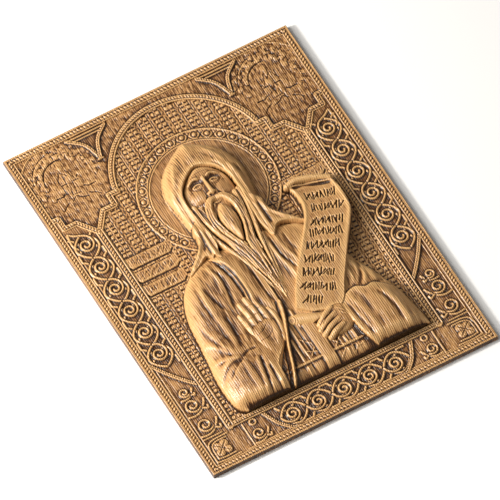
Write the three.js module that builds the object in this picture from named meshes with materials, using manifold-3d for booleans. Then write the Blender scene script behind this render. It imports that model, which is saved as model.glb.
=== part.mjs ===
// A carved wooden icon: a hooded, bearded figure with a scroll under an arch, in a border of knotwork.
// Millimetres. +X is the picture's right, +Y its top, +Z comes out of the carving; the back lies on Z = 0.
import * as THREE from "three";
import { mergeVertices } from "three/addons/utils/BufferGeometryUtils.js";
import Module from "manifold-3d";

const wasm = await Module();
wasm.setup();

// Board
const panelWidth = 300;
const panelHeight = 390;
const groundThickness = 4; // wood left behind the sunk ground
const rimRise = 1.6; // rim over the ground
const beadRise = 2; // bead rows over the ground
const footing = 1; // how far every raised form reaches into the board
const facetTolerance = 0.3;

// Border, measured inwards from the edge of the board
const rimWidth = 8;
const rimFillet = 2.4;
const beadWidth = 3.4;
const bandWidth = 28; // knotwork band at each side
const bottomBandHeight = 28.5;
const innerMouldingWidth = 7.6;
const bottomMouldingHeight = 6;

// Arch and the stepped brackets that carry it
const archRadius = 75.9; // middle of the arch moulding
const archCentreBelowTop = 91.4;
const archMouldingWidth = 5.4;
const archSpringRise = 11.8; // spring line over the arch centre
const bracketStep = 11.8; // height of one step
const bracketTread = 12.6; // width of the wide step
const bracketReach = 8.5; // from the arch end to the first step
const pendantDrop = 19; // V of the bracket below its step

// Knotwork
const strandWidth = 2;
const strandRise = 1.5;
const rosettePitch = 27;
const rosetteRows = 6;
const bottomRosettes = 5;
const rosetteRadius = 7.4;
const rosetteBelowBracket = 25.3; // first spiral below the bracket's step
const loopHalfWidth = 11.5;
const weaveHalfWidth = 13;
const nodeRise = 11.7; // crossing of the strands over each spiral's centre

// Corner squares, leaf scrolls and medallions
const cornerSquare = 26;
const medallionRadius = 26;
const medallionInset = 41; // medallion centre from the board's edges
const medallionRise = 1;
const hangingTipInset = 80.4; // hanging tip between medallion and arch, from the side edge
const hangingTipBelowTop = 40.5;
const hangingOuterReach = 19.4; // from the tip to the top of its outer and inner bead rows
const hangingInnerReach = 20.6;
const footScrollInset = 59; // leaf scroll in the foot band, from the side edge

// Halo and label strips
const haloRadius = 54.5;
const haloRingWidth = 12;
const haloRise = 0.8;
const haloBelowTop = 120;
const labelLength = 43;
const labelHeight = 13;
const labelPitch = 16.7;
const labelRise = 1;
const labelBelowTop = 153.2;
const labelGap = 1.8; // from the inner moulding to the strips
const scrollLabelReach = 40; // of the label behind the scroll

// Figure: its forms are drawn on a height of 280 units, from the middle of its straight lower edge
const figureHeight = 280;
const drawnHeight = 280;
const unit = figureHeight / drawnHeight;

const halfWidth = panelWidth / 2;
const halfHeight = panelHeight / 2;
const ground = groundThickness;
const fieldHalfWidth = halfWidth - rimWidth - bandWidth - innerMouldingWidth;
const fieldBottom = -halfHeight + rimWidth + bottomBandHeight + bottomMouldingHeight;
const archCentre = new THREE.Vector2(0, halfHeight - archCentreBelowTop);

const point = (x, y) => new THREE.Vector2(x, y);
const onFigure = (x, y) => point(x * unit, fieldBottom + y * unit);
const onFigureAll = (list) => list.map(([x, y]) => onFigure(x, y));
const mirrored = (points) => points.map((p) => point(-p.x, p.y));
const moved = (points, x, y) => points.map((p) => point(p.x + x, p.y + y));
const mix = THREE.MathUtils.lerp;
const clamp = THREE.MathUtils.clamp;

// Solids

// A closed three.js geometry as a manifold solid that faces outwards.
function solid(geometry) {
  const bare = geometry.clone();
  bare.deleteAttribute("normal");
  bare.deleteAttribute("uv");
  const merged = mergeVertices(bare, 1e-4);
  const vertices = merged.attributes.position.array;
  const triangles = new Uint32Array(merged.index.array);
  if (signedVolume(vertices, triangles) < 0) triangles.reverse();
  return new wasm.Manifold(
    new wasm.Mesh({ numProp: 3, vertProperties: vertices, triVerts: triangles }),
  );
}

function signedVolume(vertices, triangles) {
  const corner = (i) => new THREE.Vector3().fromArray(vertices, 3 * triangles[i]);
  let sum = 0;
  for (let i = 0; i < triangles.length; i += 3) {
    sum += corner(i).dot(corner(i + 1).cross(corner(i + 2)));
  }
  return sum / 6;
}

// A flat plate of the given outline between two heights.
function plate(outline, low, high, holes = []) {
  const shape = new THREE.Shape(outline);
  shape.holes = holes.map((hole) => new THREE.Path(hole));
  const depth = high - low;
  const geometry = new THREE.ExtrudeGeometry(shape, { depth, bevelEnabled: false });
  return solid(geometry.translate(0, 0, low));
}

// A closed body whose section, a list of [side, height], follows a level path with mitred corners.
// Where the path is given with heights, each adds to the section's own.
function sweep(path, section, closed = false) {
  const last = path.length - 1;
  const positions = [];
  path.forEach((here, i) => {
    const before = closed ? path[(i + last) % (last + 1)] : path[Math.max(i - 1, 0)];
    const after = closed ? path[(i + 1) % (last + 1)] : path[Math.min(i + 1, last)];
    const arriving = point(here.x - before.x, here.y - before.y).normalize();
    const leaving = point(after.x - here.x, after.y - here.y).normalize();
    if (!arriving.lengthSq()) arriving.copy(leaving);
    if (!leaving.lengthSq()) leaving.copy(arriving);
    const along = arriving.clone().add(leaving).normalize();
    const mitre = 1 / Math.max(0.5, along.dot(leaving));
    for (const [side, height] of section) {
      const x = here.x - along.y * side * mitre;
      const y = here.y + along.x * side * mitre;
      positions.push(x, y, height + (here.z ?? 0));
    }
  });
  const count = section.length;
  const index = [];
  for (let i = 0; i < (closed ? last + 1 : last); i++) {
    const next = (i + 1) % (last + 1);
    for (let j = 0; j < count; j++) {
      const k = (j + 1) % count;
      const [a, b, c, d] = [i * count + j, i * count + k, next * count + k, next * count + j];
      index.push(a, b, c, a, c, d);
    }
  }
  if (!closed) {
    for (let j = 1; j < count - 1; j++) {
      const end = last * count;
      index.push(0, j + 1, j, end, end + j, end + j + 1);
    }
  }
  const geometry = new THREE.BufferGeometry();
  geometry.setAttribute("position", new THREE.Float32BufferAttribute(positions, 3));
  return solid(geometry.setIndex(index));
}

// Sections for sweep: a flat fillet, a blunt ridge for a bead row and a sharp one for a strand.
const fillet = (width, rise, foot = 0.4) => [
  [-width / 2 - foot, ground - footing],
  [width / 2 + foot, ground - footing],
  [width / 2, ground + rise],
  [-width / 2, ground + rise],
];
const ridge = (width, rise) => [
  [-width / 2, ground - footing],
  [width / 2, ground - footing],
  [width / 4, ground + rise],
  [-width / 4, ground + rise],
];
const strand = (width, rise) => [
  [-width * 0.6, ground - footing],
  [width * 0.6, ground - footing],
  [0, ground + rise],
];

// Distance from a point to a closed outline.
function edgeDistance(x, y, outline) {
  let best = Infinity;
  const here = point(x, y);
  outline.forEach((a, i) => {
    const b = outline[(i + 1) % outline.length];
    const edge = b.clone().sub(a);
    const t = clamp(here.clone().sub(a).dot(edge) / edge.lengthSq(), 0, 1);
    best = Math.min(best, here.distanceTo(a.clone().addScaledVector(edge, t)));
  });
  return best;
}

// Height of a quarter-round shoulder at a distance inside its edge.
const shoulder = (distance, width) => Math.sqrt(1 - (1 - clamp(distance / width, 0, 1)) ** 2);

// A form in relief: its outlines cut from a block whose top follows a height function.
function reliefForm(outlines, heightAt, cell) {
  const box = new THREE.Box2().setFromPoints(outlines[0]);
  const size = box.getSize(point(0, 0));
  const centre = box.getCenter(point(0, 0));
  const columns = Math.ceil(size.x / cell);
  const rows = Math.ceil(size.y / cell);
  const block = new THREE.BoxGeometry(size.x + 1, size.y + 1, 1, columns, rows, 1);
  block.translate(centre.x, centre.y, 0);
  const position = block.attributes.position;
  for (let i = 0; i < position.count; i++) {
    const top = position.getZ(i) > 0;
    position.setZ(i, top ? heightAt(position.getX(i), position.getY(i)) : ground - footing);
  }
  return outlines.reduce(
    (form, outline) => form.intersect(plate(outline, 0, figureHeight)),
    solid(block),
  );
}

// Curves

const smooth = (points, steps) => new THREE.SplineCurve(points).getPoints(steps);
const loop = (points, steps) =>
  new THREE.CatmullRomCurve3(points.map((p) => new THREE.Vector3(p.x, p.y, 0)), true)
    .getPoints(steps)
    .slice(0, -1)
    .map((p) => point(p.x, p.y));
const arc = (centre, radius, from, to, steps) =>
  new THREE.EllipseCurve(centre.x, centre.y, radius, radius, from, to, to < from).getPoints(steps);
const circle = (centre, radius, steps) =>
  arc(centre, radius, 0, 2 * Math.PI, steps).slice(0, -1);
const rectangle = (left, bottom, right, top) => [
  point(left, bottom),
  point(right, bottom),
  point(right, top),
  point(left, top),
];
const frameInset = (inset) =>
  rectangle(inset - halfWidth, inset - halfHeight, halfWidth - inset, halfHeight - inset);

// Board and border

function board() {
  return plate(frameInset(0), 0, ground);
}

function rim() {
  const outer = plate(frameInset(0), ground - footing, ground + rimRise, [frameInset(rimFillet)]);
  const innerFillet = frameInset(rimWidth - (rimWidth - rimFillet - beadWidth) / 2);
  const beadRow = frameInset(rimFillet + beadWidth / 2);
  const innerWidth = rimWidth - rimFillet - beadWidth;
  return [
    outer,
    sweep(beadRow, ridge(beadWidth, beadRise), true),
    sweep(innerFillet, fillet(innerWidth * 0.7, rimRise), true),
  ];
}

// A moulding with a low shelf at each side and a bead row along its middle.
function moulding(path, width) {
  return sweep(path, [
    [-width / 2, ground - footing],
    [width / 2, ground - footing],
    [width / 2, ground + rimRise * 0.5],
    [width * 0.2, ground + beadRise],
    [-width * 0.2, ground + beadRise],
    [-width / 2, ground + rimRise * 0.5],
  ]);
}

function bracketPath() {
  const spring = archCentre.y + archSpringRise;
  const archEnd = Math.sqrt(archRadius ** 2 - archSpringRise ** 2);
  const firstStep = archEnd + bracketReach;
  const postX = fieldHalfWidth + innerMouldingWidth / 2;
  const outerStep = 2 * postX - firstStep;
  const low = spring - bracketStep;
  return [
    point(archEnd - archMouldingWidth / 4, spring),
    point(firstStep, spring),
    point(firstStep, low),
    point(firstStep + bracketTread, low),
    point(postX, low - pendantDrop),
    point(outerStep - bracketTread, low),
    point(outerStep, low),
    point(outerStep, spring),
    point(halfWidth - rimWidth + 1, spring),
  ];
}

function arch() {
  const spring = Math.asin(archSpringRise / archRadius);
  const path = arc(archCentre, archRadius, spring, Math.PI - spring, 22);
  const bracket = bracketPath();
  return [path, bracket, mirrored(bracket)].map((line) => moulding(line, archMouldingWidth));
}

function innerMouldings() {
  const postX = fieldHalfWidth + innerMouldingWidth / 2;
  const top = bracketPath()[4].y;
  const sillY = fieldBottom - bottomMouldingHeight / 2;
  const post = [point(postX, sillY), point(postX, top)];
  const sill = [point(-postX, sillY), point(postX, sillY)];
  return [
    moulding(post, innerMouldingWidth),
    moulding(mirrored(post), innerMouldingWidth),
    moulding(sill, bottomMouldingHeight),
  ];
}

// Knotwork

// One spiral about the origin: it springs from the node above, runs round and curls in.
function spiral(hand, steps) {
  const turns = 1.5;
  return Array.from({ length: steps + 1 }, (_, i) => {
    const share = i / steps;
    const angle = Math.PI * (0.5 + 2 * turns * share);
    const tail = (nodeRise - rosetteRadius) * Math.max(0, 1 - 5 * share);
    const radius = tail + mix(rosetteRadius, 1.6, share ** 1.6);
    return point(hand * radius * Math.cos(angle), radius * Math.sin(angle));
  });
}

// The plait round a row of spirals: one pair of strands crosses at the nodes, the other bulges there.
function plait(rows) {
  const points = (steps) => Array.from({ length: rows * steps + 1 }, (_, i) => i / steps);
  const bulge = (t) => Math.sin(Math.PI * (t % 1)) ** 0.8;
  return [-1, 1].flatMap((side) => [
    points(4).map((t) => {
      const turned = Math.floor(t) % 2 ? -side : side;
      return point(turned * loopHalfWidth * bulge(t), nodeRise - rosettePitch * t);
    }),
    points(3).map((t) => {
      const inwards = (weaveHalfWidth - rosetteRadius - 1.5 * strandWidth) * bulge(t);
      return point(side * (weaveHalfWidth - inwards), nodeRise - rosettePitch * t);
    }),
  ]);
}

// A band of rosettes that runs down from its first centre, or to the right where it is turned.
function knotBand(first, rows, hand, turned) {
  const spirals = Array.from({ length: rows }, (_, row) =>
    moved(spiral(hand, 8), 0, -row * rosettePitch),
  );
  const turn = (p) => (turned ? point(-p.y, p.x) : p);
  return [...spirals, ...plait(rows)].map((path) =>
    sweep(moved(path.map(turn), first.x, first.y), strand(strandWidth, strandRise)),
  );
}

const bandCentreX = halfWidth - rimWidth - bandWidth / 2;
const bottomBandCentreY = -halfHeight + rimWidth + bottomBandHeight / 2;

function knotwork() {
  const firstY = archCentre.y + archSpringRise - bracketStep - rosetteBelowBracket;
  const firstX = -((bottomRosettes - 1) / 2) * rosettePitch;
  return [
    ...knotBand(point(-bandCentreX, firstY), rosetteRows, 1, false),
    ...knotBand(point(bandCentreX, firstY), rosetteRows, -1, false),
    ...knotBand(point(firstX, bottomBandCentreY), bottomRosettes, 1, true),
  ];
}

// Slanted, sagging bead rows that close the knotwork at its lower ends.
function dividers() {
  const outerX = halfWidth - rimWidth;
  const innerX = outerX - bandWidth;
  const bandEnd = archCentre.y - rosetteBelowBracket - (rosetteRows - 0.45) * rosettePitch;
  const slant = bandWidth * 1.42;
  const side = smooth(
    [
      point(outerX, bandEnd + slant / 2),
      point(outerX - bandWidth * 0.35, bandEnd + slant * 0.12),
      point(innerX, bandEnd - slant / 2),
    ],
    3,
  );
  const reach = ((bottomRosettes + 0.5) / 2) * rosettePitch;
  const foot = smooth(
    [
      point(reach + 6, bottomBandCentreY + bottomBandHeight / 2),
      point(reach - 3, bottomBandCentreY),
      point(reach - 16, bottomBandCentreY - bottomBandHeight / 2),
    ],
    3,
  );
  return [side, mirrored(side), foot, mirrored(foot)].map((path) =>
    sweep(path, ridge(beadWidth, beadRise)),
  );
}

// A leaf scroll: a small spiral with a lobed leaf springing from it.
function leafScroll(centre, hand) {
  const coil = spiral(hand, 7).map((p) => p.multiplyScalar(0.8));
  const leaf = smooth([point(0, 9), point(hand * 7, 12), point(hand * 9, 5)], 2);
  return [coil, leaf].map((path) =>
    sweep(moved(path, centre.x, centre.y), strand(strandWidth, strandRise)),
  );
}

function cornerOrnament(side) {
  const centre = point(side * bandCentreX, -halfHeight + rimWidth + cornerSquare / 2 + 1.5);
  const nested = [0.5, 0.38].map((share) => {
    const reach = cornerSquare * share;
    const [x, y] = [centre.x, centre.y];
    return sweep(rectangle(x - reach, y - reach, x + reach, y + reach), strand(1.8, 1.3), true);
  });
  const lobes = [0, 1, 2, 3].map((quarter) => {
    const angle = (quarter * Math.PI) / 2;
    const reach = cornerSquare * 0.16;
    const lobe = point(centre.x + reach * Math.cos(angle), centre.y + reach * Math.sin(angle));
    return plate(circle(lobe, reach * 0.72, 6), ground - footing, ground + strandRise);
  });
  const scrolls = [
    ...leafScroll(point(side * bandCentreX, centre.y + cornerSquare * 1.12), side),
    ...leafScroll(point(side * bandCentreX, centre.y + cornerSquare * 1.95), -side),
    ...leafScroll(point(side * (halfWidth - footScrollInset), bottomBandCentreY - strandWidth), side),
  ];
  return [...nested, ...lobes, ...scrolls];
}

// A round medallion in each upper corner: a ring, a seated figure and its desk in low relief.
function medallion(side) {
  const centre = point(side * (halfWidth - medallionInset), halfHeight - medallionInset);
  const at = (x, y) => point(centre.x + side * x, centre.y + y);
  const raised = (outline, share) => plate(outline, ground - footing, ground + medallionRise * share);
  const cloud = circle(centre, medallionRadius, 18);
  const torso = loop([at(6, 10), at(-6, 8), at(-9, -10), at(0, -16), at(10, -12), at(9, 4)], 9);
  return [
    sweep(cloud, strand(strandWidth, medallionRise * 1.4), true),
    raised(torso, 1),
    raised(circle(at(0, 15), 5, 8), 1.3),
    raised([at(12, -6), at(24, -6), at(22, -18), at(14, -18)], 1),
  ];
}

// The pointed field between a medallion and the arch, closed by two curved bead rows.
function spandrel(side) {
  const top = halfHeight - rimWidth - beadWidth / 2;
  const tip = point(side * (halfWidth - hangingTipInset), halfHeight - hangingTipBelowTop);
  const drop = top - tip.y;
  const row = (reach, bow) =>
    smooth([point(tip.x + side * reach, top), point(tip.x + side * bow, tip.y + drop / 2), tip], 4);
  const outer = row(hangingOuterReach, hangingOuterReach / 4);
  const inner = row(-hangingInnerReach, -hangingInnerReach / 3);
  const lintel = [outer[0], inner[0]].map((end) => point(end.x, top - beadWidth / 2));
  const stub = rectangle(tip.x - beadWidth, tip.y - beadWidth / 2, tip.x + beadWidth, tip.y);
  return [
    sweep(outer, ridge(beadWidth, beadRise)),
    sweep(inner, ridge(beadWidth, beadRise)),
    sweep(lintel, fillet(beadWidth / 2, rimRise)),
    plate(stub, ground - footing, ground + beadRise),
  ];
}

// Halo and labels

function halo() {
  const centre = point(-0.5, halfHeight - haloBelowTop);
  const low = ground - footing;
  const outer = haloRadius + haloRingWidth;
  return [
    plate(circle(centre, outer, 26), low, ground + haloRise * 0.6),
    plate(circle(centre, haloRadius, 26), low, ground + haloRise),
    sweep(circle(centre, outer - 0.8, 26), strand(1.6, haloRise * 1.7), true),
    sweep(circle(centre, haloRadius, 26), strand(1.6, haloRise * 2), true),
  ];
}

function labels() {
  const left = -fieldHalfWidth + labelGap;
  const low = ground - footing;
  const strips = [0, 1, 2].map((row) => {
    const y = halfHeight - labelBelowTop - row * labelPitch;
    const [half, cut] = [labelHeight / 2, labelHeight / 4];
    const outline = [
      point(left, y - half + cut),
      point(left + cut, y - half),
      point(left + labelLength - cut, y - half),
      point(left + labelLength, y - half + cut),
      point(left + labelLength, y + half - cut),
      point(left + labelLength - cut, y + half),
      point(left + cut, y + half),
      point(left, y + half - cut),
    ];
    return plate(outline, low, ground + labelRise);
  });
  const right = fieldHalfWidth - labelGap * 2;
  const level = halfHeight - labelBelowTop;
  const rightLabel = rectangle(right - scrollLabelReach, level, right, level + labelHeight * 0.65);
  return [...strips, plate(rightLabel, low, ground + labelRise)];
}

// Figure

const silhouette = smooth(
  onFigureAll([
    [103, 0], [100, 22], [97, 40], [92, 58], [85, 76], [78, 92], [72, 112], [62, 138], [46, 156],
    [0, 164], [-48, 160], [-64, 152], [-78, 138], [-86, 122], [-91, 103], [-93, 85], [-96, 62],
    [-99, 42], [-99.5, 24], [-97, 8], [-90, 0],
  ]),
  34,
);

// The same outline run on below the base, so that the forms keep their depth down to the cut.
const roundedEdge = [...silhouette, ...onFigureAll([[-94, -24], [104, -24]])];

// Depths of the figure, over the ground.
const bodyDepth = 9 * unit;
const mantleDepth = 11.5 * unit;
const sleeveDepth = 13.5 * unit;
const hoodDepth = 14.5 * unit;
const creaseRoot = 4; // how far folds, locks and fingers run on down into the form below

// A swell that is 1 at a place and fades to 0 at its radii.
function swell(x, y, centreX, centreY, radiusX, radiusY) {
  const centre = onFigure(centreX, centreY);
  const away = ((x - centre.x) / (radiusX * unit)) ** 2 + ((y - centre.y) / (radiusY * unit)) ** 2;
  return Math.max(0, 1 - away);
}

function body() {
  const heightAt = (x, y) =>
    ground + 2 + bodyDepth * shoulder(edgeDistance(x, y, roundedEdge), 22 * unit);
  return reliefForm([silhouette], heightAt, 16);
}

// The mantle over the figure's right arm, with the sleeve's bulge at its foot.
function mantleLeft() {
  const region = [
    ...smooth(
      onFigureAll([[-14, 165], [-11, 125], [-6, 88], [-20, 56], [-33, 38], [-42, 28], [-43, -1]]),
      12,
    ),
    ...onFigureAll([[-120, -1], [-120, 165]]),
  ];
  const heightAt = (x, y) => {
    const rounded = shoulder(edgeDistance(x, y, roundedEdge), 24 * unit);
    const bulge = swell(x, y, -72, 24, 44, 46) * 4.5 * unit;
    return ground + 2.5 + (mantleDepth - 1) * rounded + bulge * rounded;
  };
  return reliefForm([silhouette, region], heightAt, 12);
}

// The mantle over the figure's left arm, and the wide sleeve below it.
function mantleRight() {
  const region = onFigureAll([
    [14, 165], [20, 120], [30, 70], [40, 58], [43, 30], [52, -1], [120, -1], [120, 165],
  ]);
  const heightAt = (x, y) =>
    ground + 2.5 + (mantleDepth - 2) * shoulder(edgeDistance(x, y, roundedEdge), 24 * unit);
  return reliefForm([silhouette, region], heightAt, 14);
}

function sleeveRight() {
  const region = [
    ...smooth(onFigureAll([[51, -1], [44, 30], [42, 58], [60, 64], [78, 62], [94, 50], [110, 34]]), 16),
    onFigure(110, -1),
  ];
  const heightAt = (x, y) => {
    const rounded = shoulder(edgeDistance(x, y, roundedEdge), 24 * unit);
    return ground + 3 + (sleeveDepth - 3) * rounded + swell(x, y, 66, 26, 40, 44) * 3 * unit;
  };
  return reliefForm([silhouette, region], heightAt, 10);
}

// A fold or a lock: a ridge along points of [x, y, height over the ground], in figure units.
function crease(points, width, thickness = 4, flatShare = 0) {
  const curve = new THREE.CatmullRomCurve3(
    points.map(([x, y, z]) => {
      const place = onFigure(x, y);
      return new THREE.Vector3(place.x, place.y, ground + z * unit);
    }),
  );
  const half = (width / 2) * unit;
  const deep = -thickness * unit;
  const flat = half * flatShare;
  const crest = flat ? [[flat, 0], [-flat, 0]] : [[0, 0]];
  const root = deep - creaseRoot * unit;
  const section = [[-half, root], [half, root], [half, deep], ...crest, [-half, deep]];
  return sweep(curve.getPoints(points.length - 1), section);
}

const finger = (points, width) => crease(points, width, 4, 0.5);

function folds() {
  const star = [-64, 54, 15];
  return [
    crease([[-70, 142, 11], [-68, 110, 13.5], [-66, 80, 14.5], star], 9),
    crease([[-82, 118, 11], [-80, 90, 13], [-72, 68, 14], star], 8),
    crease([[-50, 140, 13], [-54, 110, 14], [-58, 80, 14.5], star], 8),
    crease([[-38, 150, 13], [-33, 125, 14.5], [-31, 108, 14]], 11),
    crease([star, [-80, 50, 14.5], [-94, 38, 10]], 8),
    crease([star, [-64, 30, 18], [-66, 2, 17.5]], 9),
    crease([[-52, 48, 15.5], [-55, 26, 17.5], [-60, 1, 17]], 8),
    crease([[-6, 87, 12.5], [-12, 66, 13], [-22, 38, 13], [-38, -0.5, 12]], 7, 5),
    crease([[26, 140, 12.5], [24, 110, 13], [28, 84, 12.5]], 8),
    crease([[44, 148, 11.5], [44, 120, 13], [48, 96, 13.5]], 9),
    crease([[75, 96, 10], [71, 80, 12.5], [66, 66, 14]], 9),
    crease([[51, 61, 16], [55, 34, 17.5], [60, 1, 17]], 8),
    crease([[80, 56, 15], [84, 30, 15.5], [84, 1, 15]], 9),
  ];
}

// Robe front: the hanging strap and the belt's lower edge.
function robe() {
  const strap = onFigureAll([[0, -0.5], [12, -0.5], [12, 52], [0, 52]]);
  const belt = onFigureAll([[-30, 17], [46, 17], [44, 44], [-18, 44]]);
  const low = ground - footing;
  return [
    plate(belt, low, ground + bodyDepth + 2.6 * unit),
    plate(strap, low, ground + bodyDepth + 3.6 * unit),
  ];
}

// Hood, with the opening for the face, and below it the cape that lies over the shoulders.
function hood() {
  const outline = loop(
    onFigureAll([
      [-2, 279], [16, 271], [31, 254], [37.5, 232], [35, 210], [31.5, 190], [28, 166], [-34, 166],
      [-38, 190], [-40, 210], [-42, 232], [-36, 255], [-20, 272],
    ]),
    34,
  );
  const opening = loop(
    onFigureAll([
      [-2, 253], [-20, 243], [-28, 224], [-26, 190], [-25, 140], [21, 140], [23, 190], [21, 240],
    ]),
    20,
  );
  const heightAt = (x, y) =>
    ground + 3.5 + (hoodDepth - 3.5) * shoulder(edgeDistance(x, y, outline), 17 * unit);
  const cut = plate(opening, ground + 5 * unit, figureHeight);
  return reliefForm([outline], heightAt, 10).subtract(cut);
}

// Each half of the cape runs from the hood's edge to its pointed tip, over the mantle.
function cape() {
  const left = smooth(
    onFigureAll([
      [-30, 196], [-38, 190], [-40, 174], [-63, 151], [-52, 155], [-42, 160], [-36, 157.5],
      [-28, 152],
    ]),
    14,
  );
  const right = smooth(
    onFigureAll([[27, 196], [32, 190], [35, 174], [57, 151], [48, 156], [40, 158], [31, 157], [25, 150]]),
    14,
  );
  const heightAt = (x, y) => {
    const outwards = Math.abs(x + 2 * unit) / (60 * unit);
    return ground + hoodDepth - 5 * unit * outwards ** 2;
  };
  return [reliefForm([left], heightAt, 14), reliefForm([right], heightAt, 14)];
}

// Face of a calm old person on plain thirds: brow, nose and mouth are simple swells.
function face() {
  const outline = loop(
    onFigureAll([[-2, 256], [-18, 248], [-28, 228], [-26, 205], [-2, 190], [21, 205], [24, 228], [15, 248]]),
    24,
  );
  const heightAt = (x, y) => {
    const skull = Math.sqrt(swell(x, y, -2, 222, 34, 46));
    const brow = 1.4 * swell(x, y, -2, 234, 17, 5);
    const eyes = swell(x, y, -11, 228, 7, 4) + swell(x, y, 7, 228, 7, 4);
    const cheeks = swell(x, y, -14, 215, 8, 9) + swell(x, y, 10, 215, 8, 9);
    return ground + (2.5 + 12 * skull + brow - 1.8 * eyes + cheeks) * unit;
  };
  const nose = crease([[-2, 232, 15.6], [-2, 224, 16.4], [-2, 216, 17.2], [-2, 213, 16.2]], 6.5, 5);
  return [reliefForm([outline], heightAt, 6), nose];
}

// Beard: a long taper with locks that run to its tip, a central tuft and a drooping moustache.
function beard() {
  const tip = onFigure(1, 86);
  const outline = loop(
    onFigureAll([
      [-28, 212], [-20, 216], [-2, 214], [15, 216], [24, 212], [22, 180], [17, 148], [10, 120], [5, 92],
      [1, 86], [-5, 94], [-12, 124], [-18, 150], [-24, 180],
    ]),
    22,
  );
  const heightAt = (x, y) => {
    const drop = clamp((y - tip.y) / (124 * unit), 0, 1);
    const middle = point(x, 0).distanceTo(point(-2 * unit, 0)) / (26 * unit);
    return ground + (11 + 3 * drop - 3 * middle ** 2 * drop) * unit;
  };
  const locks = [-1, -0.6, 0.6, 1].map((share) => {
    const x = share * 24 - 2;
    return crease(
      [
        [x, 206, 11 + 2 * (1 - Math.abs(share))],
        [x * 0.86, 176, 14.5],
        [x * 0.56 + 1, 140, 14.5],
        [x * 0.24 + 1, 100, 13],
        [x * 0.1 + 1, 88, 12],
      ],
      5,
    );
  });
  const tuft = loop(onFigureAll([[-2, 206], [-9, 196], [-8, 184], [0, 172], [5, 184], [6, 196]]), 18);
  const tuftHeight = (x, y) => ground + (14.5 + 2 * swell(x, y, -2, 192, 9, 18)) * unit;
  const moustache = [-1, 1].map((side) =>
    crease(
      [[-2, 210, 16.5], [side * 8 - 2, 206, 16], [side * 12 - 2, 194, 15.5], [side * 11 - 2, 182, 14.5]],
      4.5,
    ),
  );
  return [
    reliefForm([outline], heightAt, 14),
    ...locks,
    reliefForm([tuft], tuftHeight, 6),
    ...moustache,
  ];
}

// Scroll: an open sheet that runs from its rolled end in the fist to a curled top.
function scroll() {
  const outline = [
    ...smooth(onFigureAll([[60, 189], [63, 172], [61, 152], [46, 129], [23, 98], [4, 70]]), 12),
    ...smooth(
      onFigureAll([
        [8, 60], [40, 56], [54, 74], [72, 98], [90, 121], [101, 143], [103, 163], [100, 178],
      ]),
      16,
    ),
  ];
  const heightAt = (x, y) => {
    const along = clamp((y - fieldBottom) / unit, 60, 190);
    return ground + mix(14.5, 9, clamp((along - 70) / 110, 0, 1)) * unit;
  };
  const top = crease([[59, 188, 11], [68, 191, 12], [84, 186, 12], [101, 179, 11]], 8, 8);
  const rolledEnd = crease([[-4, 66, 14], [4, 63, 15], [14, 57, 15.5]], 12, 10);
  return [reliefForm([outline], heightAt, 14), top, rolledEnd];
}

// The raised open hand, palm out, with its wrist running down into the sleeve.
function openHand() {
  const palm = loop(
    onFigureAll([
      [-44, 78], [-42, 60], [-44, 40], [-41, 29], [-30, 41], [-20, 55], [-17, 70], [-22, 80], [-34, 81],
    ]),
    24,
  );
  const heightAt = (x, y) =>
    ground + (11.5 + 4 * Math.sqrt(swell(x, y, -31, 62, 18, 40))) * unit;
  return [
    reliefForm([palm], heightAt, 10),
    finger([[-42, 72, 15], [-45, 82, 15.5], [-46, 93, 15]], 6),
    finger([[-37, 76, 15], [-38, 88, 16.5], [-39, 100, 16]], 6.2),
    finger([[-31, 78, 15], [-31, 92, 17], [-32, 104, 16.5]], 6.4),
    finger([[-25, 76, 15], [-25, 90, 16.5], [-26, 101, 16]], 6.2),
    finger([[-22, 58, 15], [-19, 71, 16.5], [-17, 84, 16]], 6.6),
  ];
}

// The closed hand that holds the rolled end of the scroll.
function fist() {
  const back = loop(
    onFigureAll([[24, 58], [38, 56], [43, 48], [42, 34], [32, 28], [22, 30], [18, 44]]),
    20,
  );
  const heightAt = (x, y) => ground + (11 + 5.5 * Math.sqrt(swell(x, y, 29, 44, 20, 22))) * unit;
  const knuckles = [0, 1, 2, 3].map((row) =>
    finger(
      [[10 + row * 1.3, 46 - row * 6, 15.5], [18 + row, 50 - row * 6.3, 17], [27, 54 - row * 6.6, 17]],
      6.2,
    ),
  );
  return [reliefForm([back], heightAt, 9), ...knuckles];
}

const pieces = [
  board(),
  ...rim(),
  ...arch(),
  ...innerMouldings(),
  ...knotwork(),
  ...dividers(),
  ...[-1, 1].flatMap((side) => [...cornerOrnament(side), ...medallion(side), ...spandrel(side)]),
  ...halo(),
  ...labels(),
  body(),
  mantleLeft(),
  mantleRight(),
  sleeveRight(),
  ...folds(),
  ...robe(),
  hood(),
  ...cape(),
  ...face(),
  ...beard(),
  ...scroll(),
  ...openHand(),
  ...fist(),
];
const joined = pieces.reduce((whole, piece) => whole.add(piece)).simplify(facetTolerance);

// The outer skin alone, so that no pocket stays sealed where one form bridges another.
const carving = joined.decompose().reduce((most, next) => (next.volume() > most.volume() ? next : most));

// A manifold solid as a three.js geometry.
function geometryOf(form) {
  const mesh = form.getMesh();
  const geometry = new THREE.BufferGeometry();
  geometry.setAttribute("position", new THREE.BufferAttribute(mesh.vertProperties, 3));
  geometry.setIndex(new THREE.BufferAttribute(mesh.triVerts, 1));
  geometry.computeVertexNormals();
  return geometry;
}

const wood = new THREE.MeshStandardMaterial({ color: 0xc9a06c, roughness: 0.5, metalness: 0 });
const icon = new THREE.Mesh(geometryOf(carving), wood);
icon.name = "icon_panel";

const group = new THREE.Group();
group.add(icon);
export default group;
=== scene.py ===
import math

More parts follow.
